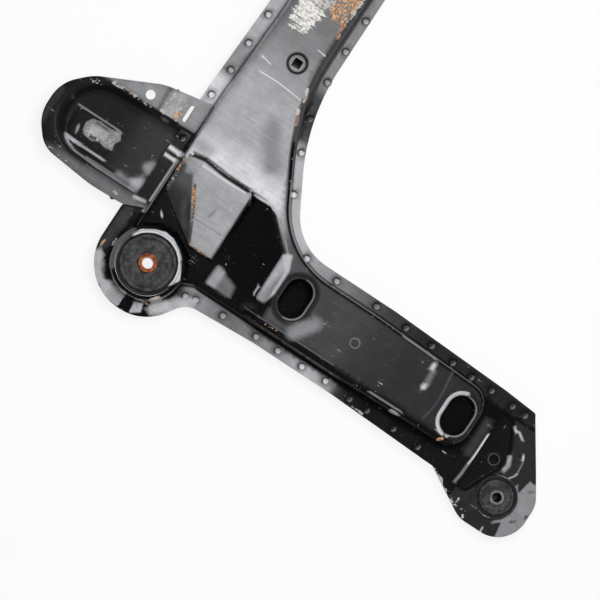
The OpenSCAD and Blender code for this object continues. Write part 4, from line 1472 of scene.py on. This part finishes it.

# Marks of the upper shell: painted highlights, sheen and shade in film, and real chips, scrapes, scratches
# and rust
SHELL_MARKS: list[Mark] = CORNER_PAINTED_HIGHLIGHTS + [
    # pale clouds of film and painted sheen on the crossmember, painted bands of light on the strip behind the
    # bracket, painted shade on the corner's front flange
    Mark(FILM_AND_SHEEN, ((170, -58), (186, -46), (206, -36)), 2.0, 0.25, 16.0),
    Mark(FILM_AND_SHEEN, ((145, 22), (145, 14)), 3.0, 0.46, 10.0),
    Mark(FILM_AND_SHEEN, ((115.5, 38), (115.5, 51)), 1.8, 0.95, 1.4),
    Mark(FILM_AND_SHEEN, ((125, 38), (125.5, 51)), 2.6, 1.0, 1.4),
    Mark(FILM_AND_SHEEN, ((48, 36), (116, 36)), 1.6, 0.6, 1.2),
    Mark(FILM_AND_SHEEN, ((-8, 54), (38, 52)), 4.0, 0.05, 5.0),
    # painted highlight along the ridge above the valley, painted shade round the gusset's weld
    Mark(FILM_AND_SHEEN, ((139, -52), (139, -74), (136, -90)), 2.0, 0.9, 5.0),
    Mark(FILM_AND_SHEEN, ((131.5, -60), (132, -82), (125, -98)), 0.7, 0.65, 1.6),
    Mark(FILM_AND_SHEEN, ((125, -98), (110, -114), (97, -127)), 0.4, 0.36, 1.3),
    Mark(FILM_AND_SHEEN, ((134, 24), (136.5, 8), (134, -20), (134, -52)), 1.2, 0.03, 1.4),
    # painted sheen and painted shade in the valley and on the arm's start
    Mark(FILM_AND_SHEEN, ((11, -70), (40, -71), (38, -78), (13, -78)), 0.2, 0.42, 4.5, True),
    Mark(FILM_AND_SHEEN, ((14, -82), (34, -83), (30, -96), (15, -98)), 0.2, 0.2, 5.0, True),
    Mark(FILM_AND_SHEEN, ((36, -127), (92, -125.5), (96, -132), (80, -138), (50, -138), (36, -134)),
         0.3, 0.62, 3.0, True),
    Mark(FILM_AND_SHEEN, ((38, -120.5), (45, -120.5)), 0.6, 0.6, 1.2),
    Mark(FILM_AND_SHEEN, ((18, -118), (24, -126)), 2.0, 0.03, 4.0),
    # painted sheen on the corner flange and a painted glint beside the boss
    Mark(FILM_AND_SHEEN, ((-58, 19), (-43, 19), (-43, 4), (-60, 4)), 0.3, 0.5, 1.8, True),
    Mark(FILM_AND_SHEEN, ((-59, 2.2), (-43, 2.6)), 0.3, 0.5, 0.8),
    Mark(FILM_AND_SHEEN, ((-57, 27), (-45, 33), (-41, 22), (-59, 22)), 0.3, 0.6, 3.0, True),
    Mark(FILM_AND_SHEEN, ((-46, 36), (-36, 46), (-22, 53)), 3.0, 0.6, 5.0),
    Mark(FILM_AND_SHEEN, ((-57, -14), (-46, -13), (-43, -20), (-51, -23)), 0.3, 0.66, 2.0, True),
    Mark(FILM_AND_SHEEN, ((-40, -36), (-24, -52), (-13, -66)), 5.0, 0.64, 5.0),
    Mark(FILM_AND_SHEEN, ((54, 16), (56, 18)), 0.8, 0.9, 1.2),
    # arm: matt paint and painted shade along its outer wall, across its end and along the crossmember's rear
    # edge, painted sheen and highlights on the plateau, its edges, crease and end, a faint ring, and real
    # chips and rust
    Mark(MATT, ((11, -66), (11, -255), (12, -345), (13, -400)), 7.0, 0.9, 3.0),
    Mark(FILM_AND_SHEEN, ((11, -66), (11, -255), (12, -345), (13, -400)), 5.0, 0.006, 3.0),
    Mark(MATT, ((170, -83.5), (205, -65.5), (243, -51), (290, -46), (400, -45)), 4.0, 0.9, 2.0),
    Mark(FILM_AND_SHEEN, ((212, -63.5), (243, -51), (290, -46), (400, -45)), 4.0, 0.075, 2.0),
    Mark(FILM_AND_SHEEN, ((24, -182), (36, -190), (46, -198)), 3.0, 0.3, 9.0),
    Mark(FILM_AND_SHEEN, as_path(circle((53, -247.5), 5.6, 25)), 0.2, 0.26, 0.9),
    Mark(FILM_AND_SHEEN, ((18.5, -122), (18, -150), (18.5, -240)), 0.2, 0.16, 1.0),
    Mark(FILM_AND_SHEEN, ((16, -292), (16.5, -335)), 0.4, 0.3, 1.4),
    Mark(FILM_AND_SHEEN, ((90, -290), (88.5, -335)), 0.4, 0.3, 1.4),
    Mark(FILM_AND_SHEEN, ((53, -340), (58, -341)), 1.6, 0.8, 3.4),
    Mark(FILM_AND_SHEEN, ((61, -341), (75, -340)), 0.4, 0.22, 5.0),
    Mark(FILM_AND_SHEEN, ((77, -337), (82, -337)), 1.4, 0.85, 3.0),
    Mark(FILM_AND_SHEEN, ((26, -360), (38, -362.3), (50, -363.2), (68, -361.8), (86, -359)), 0.3, 0.09, 2.0),
    Mark(FILM_AND_SHEEN, ((20, -428), (60, -428)), 4.0, 0.05, 4.0),
    *one_side(
        Mark(RUST, ((14.5, -150), (16, -165)), 0.7, 0.7, 1.4),
        Mark(CHIP, ((-9, -288), (-9, -300)), 0.8, 0.9, 1.2),
        Mark(CHIP, ((11, -325), (12.5, -336)), 1.2, 0.85, 1.6),
        Mark(RUST, ((13, -388), (17, -392)), 1.2, 0.85, 1.6),
        Mark(CHIP, ((22, -394), (26, -396)), 1.4, 0.95, 1.4),
    ),
    Mark(FILM_AND_SHEEN, ((-15, -433), (-4, -434.5), (10, -435)), 1.0, 0.34, 1.6),
    Mark(FILM_AND_SHEEN, ((10, -435), (22, -436), (50, -436)), 0.8, 0.95, 1.2),
    # bare scrape and rust at the middle of the crossmember
    *one_side(
        Mark(BARE, ((314, 10), (330, 17), (360, 17), (364, 0), (346, -10), (322, -2)), 0.5, 0.74, 9.0, True),
        Mark(BARE, ((345, 4), (385, 2), (392, -10), (370, -10)), 0.5, 0.5, 8.0, True),
        Mark(CHIP, ((350, -2), (388, -2), (394, -22), (362, -18)), 0.5, 0.56, 7.0, True),
        Mark(FILM_AND_SHEEN, ((326, -16), (354, -17), (350, -32), (330, -30)), 0.5, 0.15, 6.0, True),
        Mark(RUST, ((352, -20), (394, -14), (394, -36), (350, -34)), 0.5, 0.64, 8.0, True),
        Mark(RUST, ((334, -39), (362, -35), (395, -39)), 1.4, 0.7, 4.0),
        # scratches and chips
        Mark(FILM_AND_SHEEN, ((252.5, 12), (253.5, -10), (252, -26), (250.5, -42)), 0.3, 1.0, 0.7),
        Mark(FILM_AND_SHEEN, ((268, 18), (266, 8)), 0.3, 0.9, 0.7),
        Mark(FILM_AND_SHEEN, ((309, -30), (308, -40)), 0.3, 0.9, 0.7),
        Mark(BARE, ((319, 16), (319.5, -8)), 0.3, 0.7, 0.8),
        Mark(CHIP, ((225, -55), (240, -47)), 1.4, 0.95, 1.6),
        Mark(CHIP, ((252, -48), (265, -43)), 1.2, 0.95, 1.6),
        Mark(CHIP, ((355, -39), (392, -41)), 1.6, 0.7, 2.0),
        Mark(RUST, ((-12, 56.5), (-7, 55.5)), 1.4, 0.8, 1.6),
        Mark(CHIP, ((-4, 45), (3, 45)), 1.2, 1.0, 1.2),
        Mark(CHIP, ((-40, -17), (-38, -40)), 0.8, 0.8, 1.2),
        Mark(CHIP, ((-34, -27), (-26, -34)), 2.4, 1.0, 1.4),
        Mark(CHIP, ((-17, -406), (-24, -418), (-32, -431)), 2.0, 0.75, 2.0),
    ),
]

# Marks of the control arm bracket: painted highlights and reflections on the dish's walls, floor and emboss
# and on the rims, painted shade on the top rim and the dish's right wall, and real chips, rust and a worn
# patch
BRACKET_MARKS: list[Mark] = [
    Mark(FILM_AND_SHEEN, ((54.5, 120), (54.5, 70), (56, 46)), 1.0, 0.1, 2.0),
    Mark(FILM_AND_SHEEN, ((55, 54), (58, 42)), 1.4, 0.5, 2.0),
    Mark(FILM_AND_SHEEN, ((60.5, 60), (60.5, 110), (62, 140), (66, 152), (72, 161)), 0.7, 0.8, 1.4),
    Mark(FILM_AND_SHEEN, ((62.5, 62), (62.5, 125)), 1.2, 0.55, 1.8),
    Mark(FILM_AND_SHEEN, ((72, 160), (71.5, 140)), 1.4, 0.6, 1.4),
    Mark(FILM_AND_SHEEN, ((71.5, 142), (71.5, 107)), 0.7, 0.5, 1.3),
    Mark(FILM_AND_SHEEN, ((109.5, 164), (109.5, 108)), 0.4, 0.3, 1.2),
    Mark(FILM_AND_SHEEN, ((64, 58), (76, 58), (66, 68)), 0.2, 0.5, 7.0, True),
    Mark(FILM_AND_SHEEN, ((64, 70), (66, 84)), 1.5, 0.3, 5.0),
    Mark(FILM_AND_SHEEN, ((88, 57), (98, 57), (92, 62)), 0.2, 0.34, 7.0, True),
    Mark(FILM_AND_SHEEN, ((50, 190), (80, 193), (112, 192)), 2.0, 0.045, 4.0),
    Mark(FILM_AND_SHEEN, ((84, 141), (88, 146), (97, 147.5), (104, 143), (106, 134), (105, 122), (107.5, 108),
                (101, 104), (94, 108), (86, 106), (85, 116), (87, 124), (83, 131)), 0.2, 0.3, 1.2, True),
    Mark(FILM_AND_SHEEN, ((86.5, 138), (86, 125)), 1.4, 0.05, 1.2),
    Mark(FILM_AND_SHEEN, ((90, 139), (98, 140), (99, 121), (91, 120)), 0.2, 0.5, 2.4, True),
    Mark(FILM_AND_SHEEN, ((103, 138), (103, 122)), 0.6, 0.12, 1.2),
    Mark(CHIP, ((86, 144), (104, 142), (105, 110), (87, 108)), 0.3, 0.42, 2.0, True),
    Mark(FILM_AND_SHEEN, ((84, 152), (88, 153)), 1.2, 0.4, 1.4),
    Mark(CHIP, ((155, 82), (168, 79), (182, 81)), 1.2, 0.7, 3.0),
    Mark(CHIP, ((154, 78), (180, 78), (183, 62), (154, 62)), 0.3, 0.46, 3.0, True),
    Mark(FILM_AND_SHEEN, ((154, 87), (181, 88)), 2.0, 0.16, 2.0),
    Mark(FILM_AND_SHEEN, ((154, 74), (180, 72)), 4.0, 0.5, 5.0),
    Mark(RUST, ((157, 66), (164, 63)), 1.6, 0.55, 4.0),
    Mark(FILM_AND_SHEEN, ((158, 128), (168, 108)), 3.0, 0.34, 6.0),
    Mark(CHIP, ((47, 76), (47, 74)), 1.4, 0.9, 1.6),
    Mark(CHIP, ((50, 172), (46, 140), (43, 118)), 1.6, 0.3, 3.0),
    Mark(CHIP, ((128, 184), (138, 172), (145, 155)), 1.6, 0.3, 3.0),
    Mark(CHIP, ((151, 146), (153, 132), (153, 96)), 1.8, 0.56, 2.6),
    Mark(FILM_AND_SHEEN, ((150, 150), (151, 100), (152, 60)), 1.0, 0.01, 1.6),
]

# Marks of the gusset: painted sheen on its faces, a painted highlight along its right edge and painted shade
# beside its welds, and real rust and chips along the fold and the welds
GUSSET_MARKS: list[Mark] = [
    Mark(FILM_AND_SHEEN, ((58, -12), (70, -2), (84, 4)), 1.0, 0.09, 5.0),
    Mark(FILM_AND_SHEEN, ((112, 20), (124, 21), (124, 11), (116, 12)), 0.5, 0.38, 4.0, True),
    Mark(FILM_AND_SHEEN, ((72, -17), (72, -52)), 0.3, 0.3, 1.0),
    Mark(FILM_AND_SHEEN, ((84, -30), (89, -31)), 1.0, 0.3, 2.0),
    Mark(FILM_AND_SHEEN, ((104, 4), (80, -10), (60, -20), (46, -27)), 0.6, 0.1, 1.4),
    Mark(RUST, ((99, 2), (84, -7)), 1.2, 0.9, 1.8),
    Mark(RUST, ((84, -7), (64, -18)), 0.7, 0.55, 1.6),
    Mark(RUST, ((62, -19), (46, -27)), 0.4, 0.42, 1.6),
    Mark(RUST, ((44, -29), (42.5, -40), (43, -53)), 0.7, 0.7, 1.6),
    Mark(RUST, ((108, 30), (120, 30)), 1.2, 0.75, 2.2),
    Mark(RUST, ((122, 27), (131, 25)), 1.0, 0.45, 2.2),
    Mark(CHIP, ((84, 28), (104, 29)), 1.6, 0.3, 2.4),
    Mark(FILM_AND_SHEEN, ((84, 28), (104, 29), (116, 29)), 1.6, 0.1, 2.0),
    Mark(FILM_AND_SHEEN, ((127, 8), (126.5, -30), (127, -48)), 0.6, 0.8, 1.4),
    Mark(FILM_AND_SHEEN, ((131, 24), (134, 8), (131, -20), (131, -50)), 2.0, 0.01, 1.2),
]

# Marks of the end bracket: painted reflection on the bent-down lip with a few darker and paler spots, painted
# highlights on the pocket's walls and the raised arc, a pale ring round the dimple, and real chips, rust and
# a bare spot
END_MARKS: list[Mark] = [
    Mark(FILM_AND_SHEEN, ((-44, -508), (-20, -504), (5, -502), (30, -507), (30, -530), (-48, -530)),
         0.3, 0.37, 1.4, True),
    Mark(FILM_AND_SHEEN, as_path(circle(DIMPLE_AT, 6.6, 25)), 0.3, 0.09, 1.0),
    Mark(FILM_AND_SHEEN, ((-30, -497), (-24, -504)), 1.0, 0.4, 1.6),
    Mark(FILM_AND_SHEEN, ((17, -497), (8, -503)), 1.2, 0.4, 1.6),
    Mark(FILM_AND_SHEEN, ((-6, -525), (-4, -525.5)), 1.6, 0.04, 1.2),
    Mark(FILM_AND_SHEEN, ((-20, -513), (-17, -517)), 1.0, 0.12, 1.6),
    Mark(FILM_AND_SHEEN, ((20, -512), (24, -517)), 1.0, 0.2, 1.6),
    Mark(FILM_AND_SHEEN, ((26, -474), (33, -475.5), (42, -471.5)), 1.2, 0.5, 2.6),
    Mark(FILM_AND_SHEEN, ((68, -471), (72, -465), (71, -461), (74, -457)), 0.9, 0.75, 1.4),
    Mark(FILM_AND_SHEEN, ((21, -484), (27, -488), (31, -489)), 0.6, 0.6, 1.0),
    Mark(FILM_AND_SHEEN, ((31, -489), (45, -487.5)), 0.3, 0.25, 1.0),
    Mark(FILM_AND_SHEEN, ((47, -486), (52, -484)), 0.8, 0.7, 1.0),
    *one_side(
        Mark(FILM_AND_SHEEN, ((-48, -489.5), (-43, -489.5)), 0.7, 0.7, 0.9),
        Mark(CHIP, ((-36, -432), (-24, -432)), 1.4, 0.9, 1.6),
        Mark(CHIP, ((-20, -422), (-15, -422)), 1.4, 0.9, 1.6),
        Mark(CHIP, ((-34, -448), (-29, -448)), 1.0, 0.8, 1.6),
        Mark(CHIP, ((-40, -462), (-36, -444), (-22, -414)), 3.0, 0.42, 3.0),
        Mark(BARE, ((-46, -464), (-43, -462)), 1.0, 0.8, 1.4),
        Mark(RUST, ((-25, -476), (-22, -468), (-14, -463)), 0.8, 0.5, 1.6),
    ),
]


@dataclass
class Subframe:
    """The whole object."""

    corner: Bush = field(default_factory=lambda: Bush(
        "corner_bush", (0.0, 0.0), 37.5, (7.5, 62.0), 11.0, 6.25, 68.0, (112, 51, -10, 171, 228),
        shine=CORNER_PAINTED_HIGHLIGHTS))
    end: Bush = field(default_factory=lambda: Bush(
        "end_bush", REAR_BUSH, 25.0, (12.0, 36.0), 8.5, 5.0, 44.0))
    paint: BlackPaint = BlackPaint()
    dull: TurnedSteel = TurnedSteel("dull_turned_steel", "#a9a9ac", "#7b7b7e", "#2a2726", 0.1, 0.5, 0.4)
    grimy: TurnedSteel = TurnedSteel("grimy_turned_steel", "#3a3a3c", "#232325", "#2a2522", 0.3, 0.6, 0.4)
    rusted: TurnedSteel = TurnedSteel("rusted_turned_steel", "#b4673f", "#6d3722", "#d9b79c", 0.2, 0.8, 0.1)
    rubber: MouldedRubber = MouldedRubber()

    def build(self) -> None:
        """Builds and dresses every piece."""
        paint, rubber = self.paint.material(), self.rubber.material()
        dull, grimy, rusted = self.dull.material(), self.grimy.material(), self.rusted.material()
        ready(UpperShell().build(), Slot.PAINT, paint, "upper_shell")
        ready(LowerShell().build(), Slot.PAINT, paint, "lower_shell")
        sides: list[tuple[bpy.types.Object, str, Slot, bpy.types.Material]] = [
            (ControlArmBracket().build(), "control_arm_bracket", Slot.PAINT, paint),
            (Gusset().build(), "gusset", Slot.PAINT, paint),
            (EndBracket().build(), "end_bracket", Slot.PAINT, paint),
        ]
        for bush, core in ((self.corner, (Slot.RUST, rusted)), (self.end, (Slot.STEEL, dull))):
            finishes = {"tube": (Slot.PAINT, paint), "outer_sleeve": (Slot.STEEL, grimy),
                        "rubber": (Slot.RUBBER, rubber), "inner_sleeve": core}
            for piece, obj in bush.build().items():
                sides.append((obj, f"{bush.name}_{piece}", *finishes[piece]))
        for obj, node, slot, material in sides:
            copy = mirror_copy(obj, obj.name.replace("left", "right", 1))
            ready(obj, slot, material, f"left_{node}")
            ready(copy, slot, material, f"right_{node}")


@dataclass(frozen=True)
class Softbox:
    """A soft light that looks straight at a spot."""

    name: str
    at: Corner
    aim: Corner
    size: Spot
    power: float
    shape: str = "DISK"
    mirrored_in_gloss: bool = False

    def build(self) -> None:
        """Adds the light."""
        light = bpy.data.lights.new(self.name, "AREA")
        light.shape = self.shape
        light.size, light.size_y = self.size
        light.energy = self.power
        obj = bpy.data.objects.new(self.name, light)
        obj.location = self.at
        obj.rotation_euler = (Vector(self.aim) - Vector(self.at)).to_track_quat("-Z", "Y").to_euler()
        obj.visible_glossy = self.mirrored_in_gloss
        bpy.context.scene.collection.objects.link(obj)


@dataclass(frozen=True)
class Studio:
    """Pale floor, soft light and the photo's view."""

    target: Spot = (60.8, -169.6)
    right: Spot = (0.549, -0.836)
    view_mm: float = 690.0
    lens: float = 250.0
    sensor: float = 36.0
    tilt: float = 2.5
    floor_colour: str = "#f6f6f6"
    floor_cloud: str = "#efefef"
    floor_painted_shadow: str = "#6a6a6a"
    floor_size: float = 14.0
    floor_drop: float = 0.0005
    cloud_mm: float = 60.0
    # Radii in metres between which the painted shadow under a rear bush ends
    painted_shadow_r: Spot = (0.009, 0.016)
    glow_share: float = 0.86
    world_level: float = 0.08
    boxes: tuple[Softbox, ...] = (
        Softbox("key", (0.002, 0.1605, 0.95), (0.002, 0.1605, 0.0), (0.475, 0.134), 0.45, "RECTANGLE", True),
        Softbox("top", (0.0, 0.0, 2.2), (0.0, 0.0, 0.0), (0.9, 0.9), 40.0),
        Softbox("fill", (-0.9, -0.7, 1.6), (-0.2, 0.0, 0.03), (1.4, 1.4), 2.5),
        Softbox("side", (1.2, -0.5, 1.3), (0.0, 0.0, 0.03), (1.2, 1.2), 2.0),
    )

    def floor(self) -> None:
        """A wide pale floor."""
        # The eye sees it as white but for a soft shadow, and as a dark grey painted shadow under the rear
        # sleeves, seen only through them
        bpy.ops.object.select_all(action="DESELECT")
        bpy.ops.mesh.primitive_plane_add(size=self.floor_size, location=(0.0, 0.0, -self.floor_drop))
        obj = bpy.context.object
        obj.name = "floor"
        g = Graph("matt_painted_floor")
        rays = [g.add("LightPath", {}, f"Is {kind} Ray") for kind in ("Camera", "Glossy", "Transmission")]
        seen = g.add("Math", {0: rays[0], 1: rays[1]}, operation="MAXIMUM")
        seen = g.add("Math", {0: seen, 1: rays[2]}, operation="MAXIMUM")
        x, y, _ = to_frame(np.array([*REAR_BUSH, 0.0])).tolist()
        away = [g.add("VectorMath", {0: g.place, 1: (side, y, 0.0)}, "Value", operation="DISTANCE")
                for side in (x, -x)]
        near = g.add("Math", {0: away[0], 1: away[1]}, operation="MINIMUM")
        # Under each rear bush the glow is taken off and the floor coloured dark grey: a painted shadow
        clear = g.ragged(near, *self.painted_shadow_r)
        share = g.add("Math", {0: seen, 1: self.glow_share}, operation="MULTIPLY")
        share = g.add("Math", {0: share, 1: clear}, operation="MULTIPLY")
        clouds = g.ragged(g.grain(self.cloud_mm, 4), 0.3, 0.9)
        colour = g.coats(srgb(self.floor_colour), (clouds, srgb(self.floor_cloud)))
        colour = g.coats(srgb(self.floor_painted_shadow), (clear, colour))
        matt = g.add("BsdfDiffuse", {"Color": colour})
        glow = g.add("Emission", {"Color": (1.0, 1.0, 1.0, 1.0), "Strength": 1.0})
        both = g.add("MixShader", {0: share, 1: matt, 2: glow})
        g.add("OutputMaterial", {"Surface": both})
        obj.data.materials.append(g.material)

    def camera(self) -> None:
        """A long lens, nearly straight above, turned as in the photo."""
        data = bpy.data.cameras.new("camera")
        data.lens = self.lens
        data.sensor_width = self.sensor
        data.clip_end = 100.0
        obj = bpy.data.objects.new("camera", data)
        right = Vector((self.right[0], self.right[1], 0.0)).normalized()
        up = Vector((0.0, 0.0, 1.0)).cross(right)
        t = math.radians(self.tilt)
        x_axis = right * math.cos(t) + Vector((0.0, 0.0, math.sin(t)))
        z_axis = Vector((0.0, 0.0, math.cos(t))) - right * math.sin(t)
        spot = Vector(to_frame(np.array([*self.target, SEAM])))
        place = spot + z_axis * (self.view_mm * MM * self.lens / self.sensor)
        turn = Matrix((x_axis, up, z_axis)).transposed().to_4x4()
        obj.matrix_world = Matrix.Translation(place) @ turn
        bpy.context.scene.collection.objects.link(obj)
        bpy.context.scene.camera = obj

    def build(self) -> None:
        """Sets up the scene round the object."""
        scene = bpy.context.scene
        scene.view_settings.view_transform = "Standard"
        world = bpy.data.worlds.new("world")
        world.use_nodes = True
        world.node_tree.nodes["Background"].inputs["Color"].default_value = (1.0, 1.0, 1.0, 1.0)
        world.node_tree.nodes["Background"].inputs["Strength"].default_value = self.world_level
        scene.world = world
        self.floor()
        self.camera()
        for box in self.boxes:
            box.build()


def main() -> None:
    """Builds the object and the studio."""
    logging.basicConfig(level=logging.INFO, format="%(message)s")
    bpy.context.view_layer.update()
    Subframe().build()
    Studio().build()
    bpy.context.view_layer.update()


if __name__ == "__main__":
    main()
